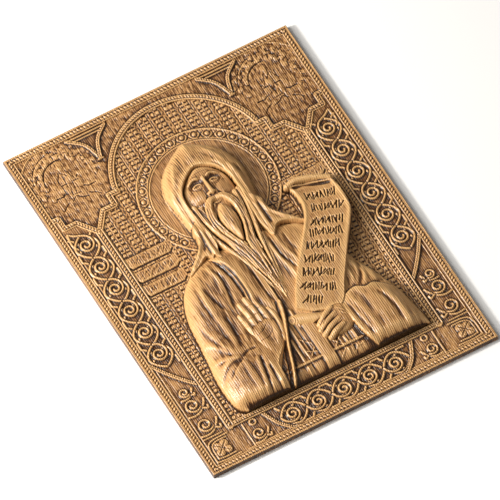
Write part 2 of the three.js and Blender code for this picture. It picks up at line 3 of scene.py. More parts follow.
import bpy
import numpy as np
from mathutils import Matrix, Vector


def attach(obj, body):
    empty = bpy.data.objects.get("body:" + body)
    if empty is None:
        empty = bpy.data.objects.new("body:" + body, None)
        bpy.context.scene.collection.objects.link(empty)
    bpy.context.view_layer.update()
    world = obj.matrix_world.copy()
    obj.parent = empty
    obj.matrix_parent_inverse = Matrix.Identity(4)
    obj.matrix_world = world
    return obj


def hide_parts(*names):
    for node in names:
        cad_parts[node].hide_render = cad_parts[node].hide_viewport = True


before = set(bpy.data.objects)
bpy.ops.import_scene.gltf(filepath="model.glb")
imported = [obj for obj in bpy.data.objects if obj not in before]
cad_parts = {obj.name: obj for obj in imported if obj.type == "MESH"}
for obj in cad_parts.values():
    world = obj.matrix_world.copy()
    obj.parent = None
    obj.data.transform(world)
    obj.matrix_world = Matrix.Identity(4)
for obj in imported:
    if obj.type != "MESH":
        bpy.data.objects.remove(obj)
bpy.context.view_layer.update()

MM = 0.001
FAR = 1e6

# Panel, as in the solid
PANEL_WIDTH = 300.0
PANEL_HEIGHT = 390.0
HALF_WIDTH = PANEL_WIDTH / 2
HALF_HEIGHT = PANEL_HEIGHT / 2
GROUND = 4.0
SEAT = 2.9
FLOOR = 3.1
SUNK = 3.4
RIM = 5.6
CREST = 6.0
RIM_WIDTH = 8.0
BAND_WIDTH = 28.0
FOOT_BAND = 28.5
POST_WIDTH = 7.6
SILL_HEIGHT = 6.0
FIELD_HALF = HALF_WIDTH - RIM_WIDTH - BAND_WIDTH - POST_WIDTH
FIELD_BOTTOM = -HALF_HEIGHT + RIM_WIDTH + FOOT_BAND + SILL_HEIGHT
POST_X = FIELD_HALF + POST_WIDTH / 2
ARCH_Y = HALF_HEIGHT - 91.4
ARCH_RADIUS = 75.9
SPRING_Y = ARCH_Y + 11.8
STEP_Y = ARCH_Y
BEAD_PITCH = 3.55
ROSETTE_PITCH = 27.0
BAND_X = HALF_WIDTH - RIM_WIDTH - BAND_WIDTH / 2
FOOT_Y = -HALF_HEIGHT + RIM_WIDTH + FOOT_BAND / 2
HALO_CENTRE = (-0.5, 75.0)
HALO_RADIUS = 54.5
HALO_INNER = HALO_RADIUS + 2.2
HALO_OUTER = 66.5
HALO_LINKS = 32

KNOT_GROUND = 3.7
WEAVE = 13.95

# The rope bead of the rim: its foot's height; how far in it starts, is centred, ends, and slants from
BEAD_FOOT = 4.3
BEAD_START = 2.1
BEAD_INSET = 4.35
BEAD_HALF = 1.9
BEAD_END = 6.3
SLANT_FROM = 4.3

# How far the bands reach under the rim, where the posts end, and half the width of a moulding
LAP = 0.2
POST_TOP = STEP_Y - 19
MOULDING_HALF = 3.2

# Heights of the gaps in the figure, the ground round a palm, a hand's lowest kept edge and its underside
DEEP = 8.0
PALM_GROUND = 9.0
HAND_EDGE = 9.4
HAND_SEAT = 7.0

# A reach that takes in the whole panel
WHOLE_PANEL = 400.0

# Cell sizes of the grids; the scroll has the hood's
FINE = 0.55
MEDIUM = 0.6
RIM_CELL = 0.54
WEAVE_CELL = 0.62
HOOD_CELL = 0.5
HAIR_CELL = 0.45
HAND_CELL = 0.42
FACE_CELL = 0.36

# The height that nothing passes, the one from which it is eased, and the tops of beard and hands, and scroll
HIGHEST = 21.7
SOFT_FROM = 19.4
HAND_TOP = 21.4
SCROLL_TOP = 21.3

# How round a strand is, and the slant, notches and plain edges of a moulding
ROUND_STRAND = 0.6
BEAD_SLANT = 0.55
BEAD_ROUND = 0.7
FILLET_EDGE = 0.35


# Curves

def curve(points, steps=6, closed=False):
    """A smooth line through the points, in as many dimensions as they have."""
    p = np.asarray(points, float)
    if closed:
        p = np.vstack([p[-1], p, p[0], p[1]])
    else:
        p = np.vstack([2 * p[0] - p[1], p, 2 * p[-1] - p[-2]])
    t = np.linspace(0, 1, steps, endpoint=False)[:, None]
    spans = []
    for a, b, c, d in zip(p[:-3], p[1:-2], p[2:-1], p[3:]):
        bend = (2 * a - 5 * b + 4 * c - d) * t**2 + (3 * b - a - 3 * c + d) * t**3
        spans.append(0.5 * (2 * b + (c - a) * t + bend))
    line = np.vstack(spans)
    return line if closed else np.vstack([line, p[-2]])


def arc(centre, radius, start, end, steps=24):
    """An arc between two angles in degrees."""
    angle = np.radians(np.linspace(start, end, steps + 1))
    return np.column_stack([centre[0] + radius * np.cos(angle), centre[1] + radius * np.sin(angle)])


def ring(centre, radius, steps):
    """A full circle, its start not repeated."""
    return arc(centre, radius, 0, 360, steps)[:-1]


def on_side(points, side):
    """Points of the right-hand side: as they are for a side of 1, mirrored for -1."""
    return np.array(points, float) * np.array([side, 1.0])


def set_out(points, centre, side=1.0, scale=1.0):
    """The points of a small motif, scaled, turned to one side and moved to its centre."""
    return on_side(np.array(points, float) * scale, side) + np.array(centre)


def figure(points):
    """Figure points, from the middle of its lower edge and up from the ground, as panel points."""
    p = np.array(points, float)
    return p + np.array([0.0, FIELD_BOTTOM, GROUND])[:p.shape[1]]


def outline(points, steps=6):
    """A closed smooth outline through figure points."""
    return curve(figure(points), steps, closed=True)


def swell(distance, half):
    """A soft bell, 1 where the distance is 0."""
    return np.exp(-(distance / half) ** 2)


def blend(low, high, share):
    """A value between two, the low one at a share of 0."""
    return low + (high - low) * share


def wander(x, y, length, seed):
    """Smooth unevenness between about -1 and 1, from a few crossed waves."""
    draw = np.random.default_rng(seed)
    total = np.zeros(np.broadcast(x, y).shape)
    for _ in range(5):
        angle, phase = draw.uniform(0, 2 * math.pi, 2)
        scale = 2 * math.pi / (length * draw.uniform(0.7, 1.4))
        total += np.sin((x * math.cos(angle) + y * math.sin(angle)) * scale + phase)
    return total / 2.6


# Grids of heights

class Patch:
    """A grid of heights over a rectangle of the panel, and the cells of it that are kept."""

    def __init__(self, left, bottom, right, top, cell, level=GROUND):
        columns = max(2, round((right - left) / cell))
        rows = max(2, round((top - bottom) / cell))
        self.x_line = np.linspace(left, right, columns + 1)
        self.y_line = np.linspace(bottom, top, rows + 1)
        self.x, self.y = np.meshgrid(self.x_line, self.y_line)
        self.z = np.full(self.x.shape, float(level))
        self.kept = np.ones((rows, columns), bool)
        self.cell = cell

    def window(self, left, bottom, right, top):
        """The rows and columns of the grid inside a rectangle."""
        rows = slice(*np.searchsorted(self.y_line, (bottom, top)))
        columns = slice(*np.searchsorted(self.x_line, (left, right)))
        return rows, columns

    def keep(self, points):
        """Keeps only the cells that touch the marked grid points."""
        touched = points[:-1, :-1] | points[1:, :-1] | points[:-1, 1:] | points[1:, 1:]
        self.kept &= touched

    def drop(self, points):
        """Drops the cells whose corners are all marked."""
        self.kept &= ~(points[:-1, :-1] & points[1:, :-1] & points[:-1, 1:] & points[1:, 1:])


class Trace:
    """How the grid near a path lies to it: distance, signed side (left is positive), length along."""

    def __init__(self, patch, path, reach, closed=False):
        path = np.asarray(path, float)
        if closed:
            path = np.vstack([path, path[:1]])
        self.path = path
        line = path[:, :2]
        low = line.min(0) - reach
        high = line.max(0) + reach
        self.window = patch.window(low[0], low[1], high[0], high[1])
        rows, columns = self.window
        shape = (max(0, rows.stop - rows.start), max(0, columns.stop - columns.start))
        self.gap = np.full(shape, FAR)
        self.side = np.full(shape, FAR)
        self.along = np.zeros(shape)
        steps = np.hypot(*np.diff(line, axis=0).T)
        self.knots = np.concatenate([[0], np.cumsum(steps)])
        self.length = self.knots[-1]
        for a, b, start, size in zip(line[:-1], line[1:], self.knots, steps):
            if size > 1e-9:
                self.measure(patch, a, b, start, size, reach)

    def measure(self, patch, a, b, start, size, reach):
        """Takes in the grid points that lie nearer to one straight part of the path than to those before."""
        low = np.minimum(a, b) - reach
        high = np.maximum(a, b) + reach
        near = patch.window(low[0], low[1], high[0], high[1])
        first_row, first_column = self.window[0].start, self.window[1].start
        here = (
            slice(near[0].start - first_row, near[0].stop - first_row),
            slice(near[1].start - first_column, near[1].stop - first_column),
        )
        step = (b - a) / size
        dx = patch.x[near] - a[0]
        dy = patch.y[near] - a[1]
        travel = np.clip(dx * step[0] + dy * step[1], 0, size)
        gap = np.hypot(dx - travel * step[0], dy - travel * step[1])
        nearer = gap < self.gap[here]
        lateral = np.where(step[0] * dy - step[1] * dx >= 0, gap, -gap)
        self.gap[here][nearer] = gap[nearer]
        self.side[here][nearer] = lateral[nearer]
        self.along[here][nearer] = (start + travel)[nearer]

    def level(self):
        """The path's own height beside each grid point."""
        return np.interp(self.along, self.knots, self.path[:, 2])

    def ends(self, rise, fall):
        """Fades to 0 towards the two ends of the path."""
        share = self.along / max(self.length, 1e-9)
        start = np.clip(share / rise, 0, 1) if rise else 1.0
        end = np.clip((1 - share) / fall, 0, 1) if fall else 1.0
        return np.sin(start * math.pi / 2) * np.sin(end * math.pi / 2)


def inside(patch, edge):
    """Which grid points lie inside a closed outline."""
    edge = np.asarray(edge, float)
    mask = np.zeros(patch.x.shape, bool)
    for a, b in zip(edge, np.roll(edge, -1, axis=0)):
        if a[1] == b[1]:
            continue
        rows = slice(*np.searchsorted(patch.y_line, sorted((a[1], b[1]))))
        crossing = a[0] + (patch.y_line[rows] - a[1]) * (b[0] - a[0]) / (b[1] - a[1])
        mask[rows] ^= patch.x_line[None, :] > crossing[:, None]
    return mask


def depth_inside(patch, edge, reach):
    """Distance from a closed outline: positive inside it, negative outside, cut off at the reach."""
    spot = Trace(patch, edge, reach, closed=True)
    gap = np.full(patch.x.shape, reach)
    gap[spot.window] = np.minimum(gap[spot.window], spot.gap)
    return np.where(inside(patch, edge), gap, -gap)


def shoulder(distance, width):
    """A quarter round that rises from 0 at an edge to 1 at the width."""
    return np.sqrt(1 - (1 - np.clip(distance / width, 0, 1)) ** 2)


def ramp(distance, width):
    """A soft step from 0 at the width outside an edge to 1 at the edge."""
    share = np.clip(1 + distance / width, 0, 1)
    return share * share * (3 - 2 * share)


def bump(x, y, centre_x, centre_y, radius_x, radius_y, tilt=0.0):
    """A soft mound, 1 at its centre and 0 from its radii outwards; tilted in degrees."""
    turn = math.radians(tilt)
    dx = x - centre_x
    dy = y - centre_y
    u = (dx * math.cos(turn) + dy * math.sin(turn)) / radius_x
    v = (dy * math.cos(turn) - dx * math.sin(turn)) / radius_y
    return np.clip(1 - u * u - v * v, 0, 1)


# Carving on a grid

def raise_to(patch, spot, height):
    """Lifts the grid near a path to a height, where that is higher."""
    z = patch.z[spot.window]
    np.maximum(z, height, out=z)


def ridge(patch, path, half, crest, foot=GROUND, closed=False, ends=0.0):
    """Raises a rounded strand along a path to its crest height."""
    spot = Trace(patch, path, half + patch.cell, closed)
    share = np.clip(spot.gap / half, 0, 1)
    lift = (crest - foot) * (1 - share * share) ** ROUND_STRAND
    if ends:
        lift = lift * spot.ends(ends, ends)
    raise_to(patch, spot, np.where(spot.gap < half, foot + lift, -FAR))


def clear_path(patch, path, half, level):
    """Lowers whatever lies along a path, so that a strand laid over it stands free."""
    spot = Trace(patch, path, half + patch.cell)
    z = patch.z[spot.window]
    lowered = np.minimum(z, level)
    z[spot.gap < half] = lowered[spot.gap < half]


def strand(patch, path, half, crest, cleared, level=4.2, foot=KNOT_GROUND, ends=0.0):
    """A ridge over what it crosses, with a cleared strip of its own."""
    clear_path(patch, path, cleared, level)
    ridge(patch, path, half, crest, foot, ends=ends)


def groove(patch, path, half, depth, closed=False, ends=0.0):
    """Cuts a V along a path."""
    spot = Trace(patch, path, half + patch.cell, closed)
    share = np.clip(spot.gap / half, 0, 1)
    cut = depth * (1 - share)
    if ends:
        cut = cut * spot.ends(ends, ends)
    patch.z[spot.window] -= cut


def fold(patch, points, rise, left, right, ends=(0.2, 0.25), steps=6):
    """Lifts a soft ridge along a smooth line, with its own width on each side; a negative rise cuts."""
    spot = Trace(patch, curve(points, steps), max(left, right))
    width = np.where(spot.side > 0, left, right)
    share = np.clip(spot.gap / width, 0, 1)
    patch.z[spot.window] += rise * np.cos(share * math.pi / 2) ** 2 * spot.ends(*ends)


def limb(patch, points, half, base=0.0, power=0.5, taper=1.0):
    """Raises a rounded finger or roll along a smooth line of x, y, height, widest at its start."""
    spot = Trace(patch, curve(points), half + patch.cell)
    width = half * blend(1, taper, spot.along / spot.length)
    across = np.clip(spot.gap / width, 0, 1)
    lift = spot.level() - (1 - (1 - across * across) ** power) * (half + base)
    raise_to(patch, spot, np.where(across < 1, lift, -FAR))


def moulding(patch, path, courses, cleared):
    """Clears a path and raises courses along it: offset to its left, half width, height, bead pitch."""
    clear_path(patch, path, cleared, GROUND)
    reach = max(abs(offset) + half for offset, half, _, _ in courses)
    spot = Trace(patch, path, reach + patch.cell)
    for offset, half, height, pitch in courses:
        across = np.clip(np.abs(spot.side - offset) / half, 0, 1)
        if pitch:
            slant = spot.along + BEAD_SLANT * (spot.side - offset)
            notch = np.abs(np.sin(math.pi * slant / pitch)) ** BEAD_ROUND
            lift = (height - GROUND) * (1 - across**2) ** 0.5 * (0.1 + 0.9 * notch)
        else:
            lift = (height - GROUND) * np.clip((1 - across) * half / FILLET_EDGE, 0, 1)
        raise_to(patch, spot, np.where(across < 1, GROUND + lift, -FAR))


def turned(courses, side):
    """The courses of a moulding for one side: their offsets change sign with it."""
    return [(side * offset, *rest) for offset, *rest in courses]


def sink(patch, edge, low, width):
    """Lets the patch fall to a low height outside an outline, and drops the cells beyond."""
    depth = depth_inside(patch, edge, WHOLE_PANEL)
    patch.z = blend(low, patch.z, ramp(depth, width))
    patch.keep(depth > -width - patch.cell)


# Meshes

# The painted-shade value of walls, painted dark as if in shade, and of the board's plain sides and back,
# painted barely darker
PAINTED_WALL_SHADE = -1.2
PAINTED_BACK_SHADE = -0.1


def no_corner_contacts(kept):
    """Fills cells so that no two kept cells meet at a corner alone."""
    kept = kept.copy()
    for _ in range(20):
        a, b = kept[:-1, :-1], kept[1:, 1:]
        c, d = kept[1:, :-1], kept[:-1, 1:]
        first = a & b & ~c & ~d
        second = c & d & ~a & ~b
        if not first.any() and not second.any():
            break
        kept[1:, :-1] |= first
        kept[:-1, :-1] |= second
    return kept


def blurred(z, radius):
    """A box blur, twice over."""
    for _ in range(2):
        for axis in (0, 1):
            padded = np.concatenate(
                [np.repeat(np.take(z, [0], axis), radius + 1, axis), z,
                 np.repeat(np.take(z, [-1], axis), radius, axis)],
                axis,
            )
            total = np.cumsum(padded, axis)
            size = z.shape[axis]
            upper = np.take(total, np.arange(2 * radius + 1, 2 * radius + 1 + size), axis)
            lower = np.take(total, np.arange(size), axis)
            z = (upper - lower) / (2 * radius + 1)
    return z


def painted_shading_values(patch, reach):
    """How far each point stands over its surroundings, near and wide; hollows are negative. The values are
    painted shade in hollows and painted highlight on raised parts.
    """
    near = patch.z - blurred(patch.z, max(1, round(0.45 * reach / patch.cell)))
    wide = patch.z - blurred(patch.z, max(1, round(1.5 * reach / patch.cell)))
    return np.clip(1.5 * near + 0.45 * np.clip(wide, -2.0, 1.2), -1.6, 1.0)


def grid_faces(kept, border, top, low):
    """Top quads, walls and the underside of the kept cells."""
    rows, columns = np.nonzero(kept)
    quads = np.column_stack([
        top[rows, columns], top[rows, columns + 1], top[rows + 1, columns + 1], top[rows + 1, columns],
    ])
    room = np.pad(kept, 1)
    walls = []
    sides = (
        ((-1, 0), (0, 0), (0, 1)),
        ((1, 0), (1, 1), (1, 0)),
        ((0, -1), (1, 0), (0, 0)),
        ((0, 1), (0, 1), (1, 1)),
    )
    for (down, right), start, end in sides:
        open_side = kept & ~room[1 + down:room.shape[0] - 1 + down, 1 + right:room.shape[1] - 1 + right]
        r, c = np.nonzero(open_side)
        a = (r + start[0], c + start[1])
        b = (r + end[0], c + end[1])
        walls.append(np.column_stack([top[b], top[a], low[a], low[b]]))
    under = []
    for r in range(kept.shape[0]):
        row = kept[r].astype(np.int8)
        edges = np.diff(np.concatenate([[0], row, [0]]))
        for c0, c1 in zip(np.nonzero(edges == 1)[0], np.nonzero(edges == -1)[0]):
            lower = [i for i in range(c0, c1 + 1) if border[r, i]]
            upper = [i for i in range(c0, c1 + 1) if border[r + 1, i]]
            under.append([int(low[r + 1, i]) for i in upper] + [int(low[r, i]) for i in reversed(lower)])
    return quads, np.vstack(walls), under


def numbered(marked, first=0):
    """Vertex numbers for the marked grid points, from the first on, and -1 elsewhere."""
    numbers = np.full(marked.shape, -1)
    numbers[marked] = first + np.arange(marked.sum())
    return numbers


def corner_points(kept):
    """The grid points that any kept cell touches, and those that four of them touch."""
    room = np.pad(kept, 1)
    corners = [room[:-1, :-1], room[1:, :-1], room[:-1, 1:], room[1:, 1:]]
    return np.logical_or.reduce(corners), np.logical_and.reduce(corners)


def carved_mesh(name, patch, used, border, floor, faces, carved, material, reach, painted_plain_shade):
    """One closed mesh of carved points over floor points; its first faces, the carved ones, are smooth."""
    vertices = np.vstack([
        np.column_stack([patch.x[used], patch.y[used], patch.z[used]]),
        np.column_stack([patch.x[border], patch.y[border], np.full(border.sum(), floor)]),
    ])
    mesh = bpy.data.meshes.new(name)
    mesh.from_pydata((vertices * MM).tolist(), [], faces)
    smooth = np.zeros(len(mesh.polygons), bool)
    smooth[:carved] = True
    mesh.polygons.foreach_set("use_smooth", smooth)
    # painted shade in hollows and on walls, painted highlight on raised parts: stored per point for the
    # wood's colour
    painted_shades = np.concatenate([painted_shading_values(patch, reach)[used], np.full(border.sum(), painted_plain_shade)])
    painted_shading = mesh.attributes.new("painted_shading", "FLOAT", "POINT")
    painted_shading.data.foreach_set("value", painted_shades.astype(np.float32))
    mesh.materials.append(material)
    mesh.validate()
    made = bpy.data.objects.new(name, mesh)
    bpy.context.scene.collection.objects.link(made)
    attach(made, "root")
    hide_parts("icon_panel")


def piece(name, patch, floor, material, shade_reach=2.4):
    """The kept cells of a patch as one closed mesh that stands on a level floor."""
    over = np.maximum(patch.z - SOFT_FROM, 0)
    room_left = HIGHEST - SOFT_FROM
    patch.z = np.minimum(patch.z, SOFT_FROM + room_left * np.tanh(over / room_left))
    kept = no_corner_contacts(patch.kept)
    used, inner = corner_points(kept)
    border = used & ~inner
    quads, walls, under = grid_faces(kept, border, numbered(used), numbered(border, used.sum()))
    faces = quads.tolist() + walls.tolist() + under
    carved_mesh(name, patch, used, border, floor, faces, len(quads), material, shade_reach, PAINTED_WALL_SHADE)


# Wood

class WoodNodes:
    """The material's node tree, with the few kinds of step that it is built from."""

    def __init__(self, tree):
        """Starts from the place on the panel, in metres."""
        self.tree = tree
        self.place = tree.nodes.new("ShaderNodeTexCoord").outputs["Object"]

    def put(self, socket, value):
        """Joins a socket to another node's output, or sets it to a plain value."""
        if isinstance(value, bpy.types.NodeSocket):
            self.tree.links.new(value, socket)
        else:
            socket.default_value = value

    def add(self, kind, inputs):
        """A new node with its inputs by name."""
        node = self.tree.nodes.new(kind)
        for name, value in inputs.items():
            self.put(node.inputs[name], value)
        return node

    def stretched(self, scale):
        """The place, drawn out along the grain."""
        return self.add("ShaderNodeMapping", {"Vector": self.place, "Scale": scale}).outputs["Vector"]

    def noise(self, scale, size, detail, roughness):
        """Uneven noise, drawn out along the grain."""
        inputs = {"Vector": self.stretched(scale), "Scale": size, "Detail": detail, "Roughness": roughness}
        return self.add("ShaderNodeTexNoise", inputs).outputs["Fac"]

    def hatch(self):
        """Fine wavering lines along the grain, as tools leave them."""
        inputs = {"Vector": self.stretched((1.0, 0.06, 0.2)), "Scale": 165, "Distortion": 3.0}
        node = self.add("ShaderNodeTexWave", {**inputs, "Detail": 2, "Detail Scale": 0.6})
        node.wave_type = "BANDS"
        node.bands_direction = "X"
        return node.outputs["Fac"]

    def spread(self, value, low, high, to_low, to_high):
        """A value carried from one range to another."""
        inputs = {"Value": value, "From Min": low, "From Max": high, "To Min": to_low, "To Max": to_high}
        return self.add("ShaderNodeMapRange", inputs).outputs["Result"]

    def total(self, first, *others):
        """The sum of several values."""
        for other in others:
            node = self.tree.nodes.new("ShaderNodeMath")
            node.operation = "ADD"
            self.put(node.inputs[0], first)
            self.put(node.inputs[1], other)
            first = node.outputs["Value"]
        return first

    def painted_light_and_shade(self):
        """Painted light and shade: a place is coloured lighter the further it stands over its surroundings,
        and darker in hollows.
        """
        node = self.tree.nodes.new("ShaderNodeAttribute")
        node.attribute_name = "painted_shading"
        return self.spread(node.outputs["Fac"], -0.80, 0.8, -0.12, 0.96)

    def colour(self, tone):
        """Dark brown at a tone of 0 to pale wood at 1; the lowest tones come mostly from painted shade."""
        node = self.add("ShaderNodeValToRGB", {"Fac": tone})
        stops = node.color_ramp.elements
        stops[0].position = 0.0
        stops[0].color = (0.030, 0.010, 0.002, 1)
        stops[1].position = 1.0
        stops[1].color = (0.60, 0.355, 0.145, 1)
        for position, colour in ((0.26, (0.13, 0.052, 0.015, 1)), (0.48, (0.41, 0.212, 0.080, 1))):
            stops.new(position).color = colour
        return node.outputs["Color"]

    def bumps(self, height):
        """The shading of fine relief, 0.8 mm high."""
        node = self.add("ShaderNodeBump", {"Strength": 0.9, "Distance": 0.0008, "Height": height})
        return node.outputs["Normal"]


def wood_material():
    """Oiled lime wood: lengthwise grain, tool hatch, painted shade in hollows, painted highlight on raised
    parts and a soft gloss.
    """
    material = bpy.data.materials.new("carved_wood")
    material.use_nodes = True
    shader = material.node_tree.nodes["Principled BSDF"].inputs
    oiled = WoodNodes(material.node_tree)
    fibres = oiled.noise((1.0, 0.16, 0.3), 560, 3, 0.6)
    streaks = oiled.noise((1.0, 0.10, 0.4), 240, 3, 0.55)
    clouds = oiled.noise((1.0, 0.4, 1.0), 16, 2, 0.5)
    hatch = oiled.hatch()
    grain = oiled.total(
        oiled.spread(fibres, 0.3, 0.7, -0.15, 0.15),
        oiled.spread(streaks, 0.3, 0.7, -0.08, 0.08),
        oiled.spread(hatch, 0.0, 1.0, -0.08, 0.08),
        oiled.spread(clouds, 0.3, 0.7, -0.08, 0.08),
    )
    relief = oiled.total(oiled.spread(fibres, 0.2, 0.8, 0.0, 0.6), oiled.spread(hatch, 0.0, 1.0, 0.0, 0.3))
    # Base colour: grain plus painted shade in hollows and painted highlight on raised parts
    oiled.put(shader["Base Color"], oiled.colour(oiled.total(oiled.painted_light_and_shade(), grain)))
    oiled.put(shader["Roughness"], oiled.spread(fibres, 0.3, 0.7, 0.25, 0.42))
    oiled.put(shader["Specular IOR Level"], 0.5)
    oiled.put(shader["Normal"], oiled.bumps(relief))
    return material


# Board with its rim

def board():
    """The board's carved face: a rim with a rope bead, and no cells under the rest of the carving."""
    patch = Patch(-HALF_WIDTH, -HALF_HEIGHT, HALF_WIDTH, HALF_HEIGHT, RIM_CELL)
    across = HALF_WIDTH - np.abs(patch.x)
    upright = HALF_HEIGHT - np.abs(patch.y)
    inset = np.minimum(across, upright)
    along = np.where(across < upright, patch.y, patch.x)
    turn = np.where(across < upright, np.sign(patch.x), -np.sign(patch.y))
    slant = along + BEAD_SLANT * turn * (inset - SLANT_FROM)
    notch = np.abs(np.sin(math.pi * slant / BEAD_PITCH)) ** BEAD_ROUND
    fillet = RIM - 0.7 * np.clip(1 - inset / 0.7, 0, 1) ** 2
    share = np.clip(np.abs(inset - BEAD_INSET) / BEAD_HALF, 0, 1)
    bead = BEAD_FOOT + (CREST - BEAD_FOOT) * (1 - share**2) ** 0.5 * (0.12 + 0.88 * notch)
    inner = BEAD_FOOT + (RIM - BEAD_FOOT) * np.clip((inset - BEAD_END) / 0.5, 0, 1)
    bands = [inset <= BEAD_START, inset <= BEAD_END, inset <= RIM_WIDTH + 0.01]
    patch.z = np.select(bands, [fillet, bead, inner], FLOOR)
    falling = (inset > BEAD_START) & (inset < BEAD_START + 0.5)
    slope = RIM - (inset - BEAD_START) / 0.5 * 1.3
    patch.z = np.where(falling, np.maximum(patch.z, slope), patch.z)
    patch.drop(inset > RIM_WIDTH + 0.7)
    return patch


def face(*corners):
    """A face as plain numbers, as Blender wants them."""
    return [int(corner) for corner in corners]


def side_faces(top, low):
    """The board's four plain sides, one face beside each cell of its edge."""
    faces = []
    for i in range(top.shape[1] - 1):
        faces.append(face(top[0, i + 1], top[0, i], low[0, i], low[0, i + 1]))
        faces.append(face(top[-1, i], top[-1, i + 1], low[-1, i + 1], low[-1, i]))
    for j in range(top.shape[0] - 1):
        faces.append(face(top[j, 0], top[j + 1, 0], low[j + 1, 0], low[j, 0]))
        faces.append(face(top[j + 1, -1], top[j, -1], low[j, -1], low[j + 1, -1]))
    return faces


def strip_faces(numbers, rows, first, last):
    """One face for each row of a level part, with every point of the part's own edge in it."""
    faces = []
    for j in rows:
        lower = range(first, last + 1) if j == rows[0] else (first, last)
        upper = range(last, first - 1, -1) if j == rows[-1] else (last, first)
        faces.append(face(*(numbers[j, i] for i in lower), *(numbers[j + 1, i] for i in upper)))
    return faces


def board_piece(wood):
    """The rim's cells with a level floor inside them, plain sides and a plain back."""
    patch = board()
    used, _ = corner_points(patch.kept)
    outer = np.ones(used.shape, bool)
    outer[1:-1, 1:-1] = False
    top = numbered(used)
    low = numbered(outer, used.sum())
    rows, columns = patch.kept.shape
    r, c = np.nonzero(patch.kept)
    quads = np.column_stack([top[r, c], top[r, c + 1], top[r + 1, c + 1], top[r + 1, c]]).tolist()
    hole_rows = np.nonzero(~patch.kept[:, columns // 2])[0]
    hole = np.nonzero(~patch.kept[hole_rows[0]])[0]
    level = strip_faces(top, hole_rows, hole[0], hole[-1] + 1)
    back = strip_faces(low[:, ::-1], range(rows), 0, columns)
    faces = quads + side_faces(top, low) + level + back
    carved_mesh("board", patch, used, outer, 0.0, faces, len(quads), wood, 2.4, PAINTED_BACK_SHADE)


# Mouldings

def bracket_path():
    """The stepped bracket of the right-hand side, from the arch's end to the rim."""
    arch_end = math.sqrt(ARCH_RADIUS**2 - (SPRING_Y - ARCH_Y) ** 2)
    first = arch_end + 8.5
    outer = 2 * POST_X - first
    return np.array([
        (arch_end - 1.5, SPRING_Y), (first, SPRING_Y), (first, STEP_Y), (first + 12.6, STEP_Y),
        (POST_X, POST_TOP), (outer - 12.6, STEP_Y), (outer, STEP_Y), (outer, SPRING_Y),
        (HALF_WIDTH - RIM_WIDTH + 1, SPRING_Y),
    ])


BRACKET_COURSES = (
    (2.1, 0.75, 5.5, 0),
    (0.3, 1.45, 5.9, 2.9),
    (-2.1, 0.8, 5.5, 0),
)
ARCH_COURSES = (
    (-2.3, 0.75, 5.4, 0),
    (-0.5, 1.4, 5.9, 2.9),
    (2.0, 0.9, 5.6, 0),
)
POST_COURSES = (
    (3.0, 0.85, 5.3, 0),
    (0.2, 1.8, 6.0, BEAD_PITCH),
    (-3.0, 0.95, 5.5, 0),
)
SILL_COURSES = (
    (2.1, 0.9, 5.5, 0),
    (0.2, 1.2, 5.7, 2.6),
    (-2.1, 0.8, 5.3, 0),
)
DIVIDER_COURSES = (
    (0.9, 0.8, 5.6, 0),
    (-0.9, 1.2, 5.8, 2.2),
)
POINT_COURSES = (
    (0.9, 0.8, 5.6, 0),
    (-0.9, 1.1, 5.8, 2.4),
)

# The sagging beaded lines that close the right band's knotwork and the foot's, and their cleared strip
SIDE_DIVIDER = curve([(142.5, -64.0), (138.5, -70.5), (131.5, -81.0), (120.5, -95.0), (109.5, -106.5)], 8)
FOOT_DIVIDER = curve([(78.5, -157.6), (76.0, -164.0), (70.0, -176.0), (61.0, -185.5), (54.5, -188.0)], 8)
DIVIDER_ROOM = 2.6


# Knotwork

PLAIT_STEPS = 16
STRAND = 1.35
SPIRAL_OUTER = 7.4
SPIRAL_INNER = 1.5


def spiral(hand):
    """A spiral about the origin that springs from the node above and curls in."""
    share = np.linspace(0, 1, 45)
    angle = math.pi * (0.5 + 3.5 * share)
    tail = 4.3 * np.clip(1 - 5 * share, 0, 1) ** 1.5
    radius = tail + SPIRAL_OUTER + (SPIRAL_INNER - SPIRAL_OUTER) * share**1.35
    return np.column_stack([hand * radius * np.cos(angle), radius * np.sin(angle)])


def bulge(t):
    """How far a loop stands out between two nodes, 0 at each of them."""
    return np.sin(math.pi * (t % 1)) ** 0.8


def plait(rows):
    """The strands round a row of spirals: a pair that crosses at the nodes and a pair that swings out."""
    t = np.linspace(0, rows, rows * PLAIT_STEPS + 1)
    y = 11.7 - ROSETTE_PITCH * t
    crossed = np.where(np.floor(t) % 2 == 1, -1.0, 1.0)
    swing = np.sin(math.pi * np.minimum(1, (t % 1) / 0.72)) ** 0.7
    loops = [np.column_stack([s * crossed * 11.5 * bulge(t), y]) for s in (-1, 1)]
    weave = [np.column_stack([s * (12.6 - 7.2 * swing), y]) for s in (-1, 1)]
    return loops, weave


def knot_band(patch, rows, hand, place):
    """Carves rosettes and their plait; place puts band points, x across and y down it, on the panel."""
    loops, weave = plait(rows)
    for path in weave:
        ridge(patch, place(path), STRAND, 5.3, KNOT_GROUND)
    for path in loops:
        strand(patch, place(path), STRAND, 5.5, 1.9)
    for row in range(rows):
        shift = np.array([0.0, -row * ROSETTE_PITCH])
        over = weave[0][int(PLAIT_STEPS * (row + 0.42)):int(PLAIT_STEPS * (row + 0.62))]
        for side in (1, -1):
            strand(patch, place(on_side(over, side)), STRAND, 5.5, 1.9)
        strand(patch, place(spiral(hand) + shift), 1.3, 5.7, 1.95, 3.8)
        eye = np.array([[hand * 0.2, 0.0], [hand * 0.5, 0.5]])
        groove(patch, place(eye + shift), 1.3, 0.9)


def band_points(side, first_y):
    """What puts points of a side band, x across and y down from its first node, on the panel."""
    return lambda path: np.asarray(path, float) + np.array([side * BAND_X, first_y])


def foot_points(path):
    """Puts points of the foot band, which runs to the right from its first node, on the panel."""
    path = np.asarray(path, float)
    return np.column_stack([-path[:, 1] - 2 * ROSETTE_PITCH, path[:, 0] + FOOT_Y])


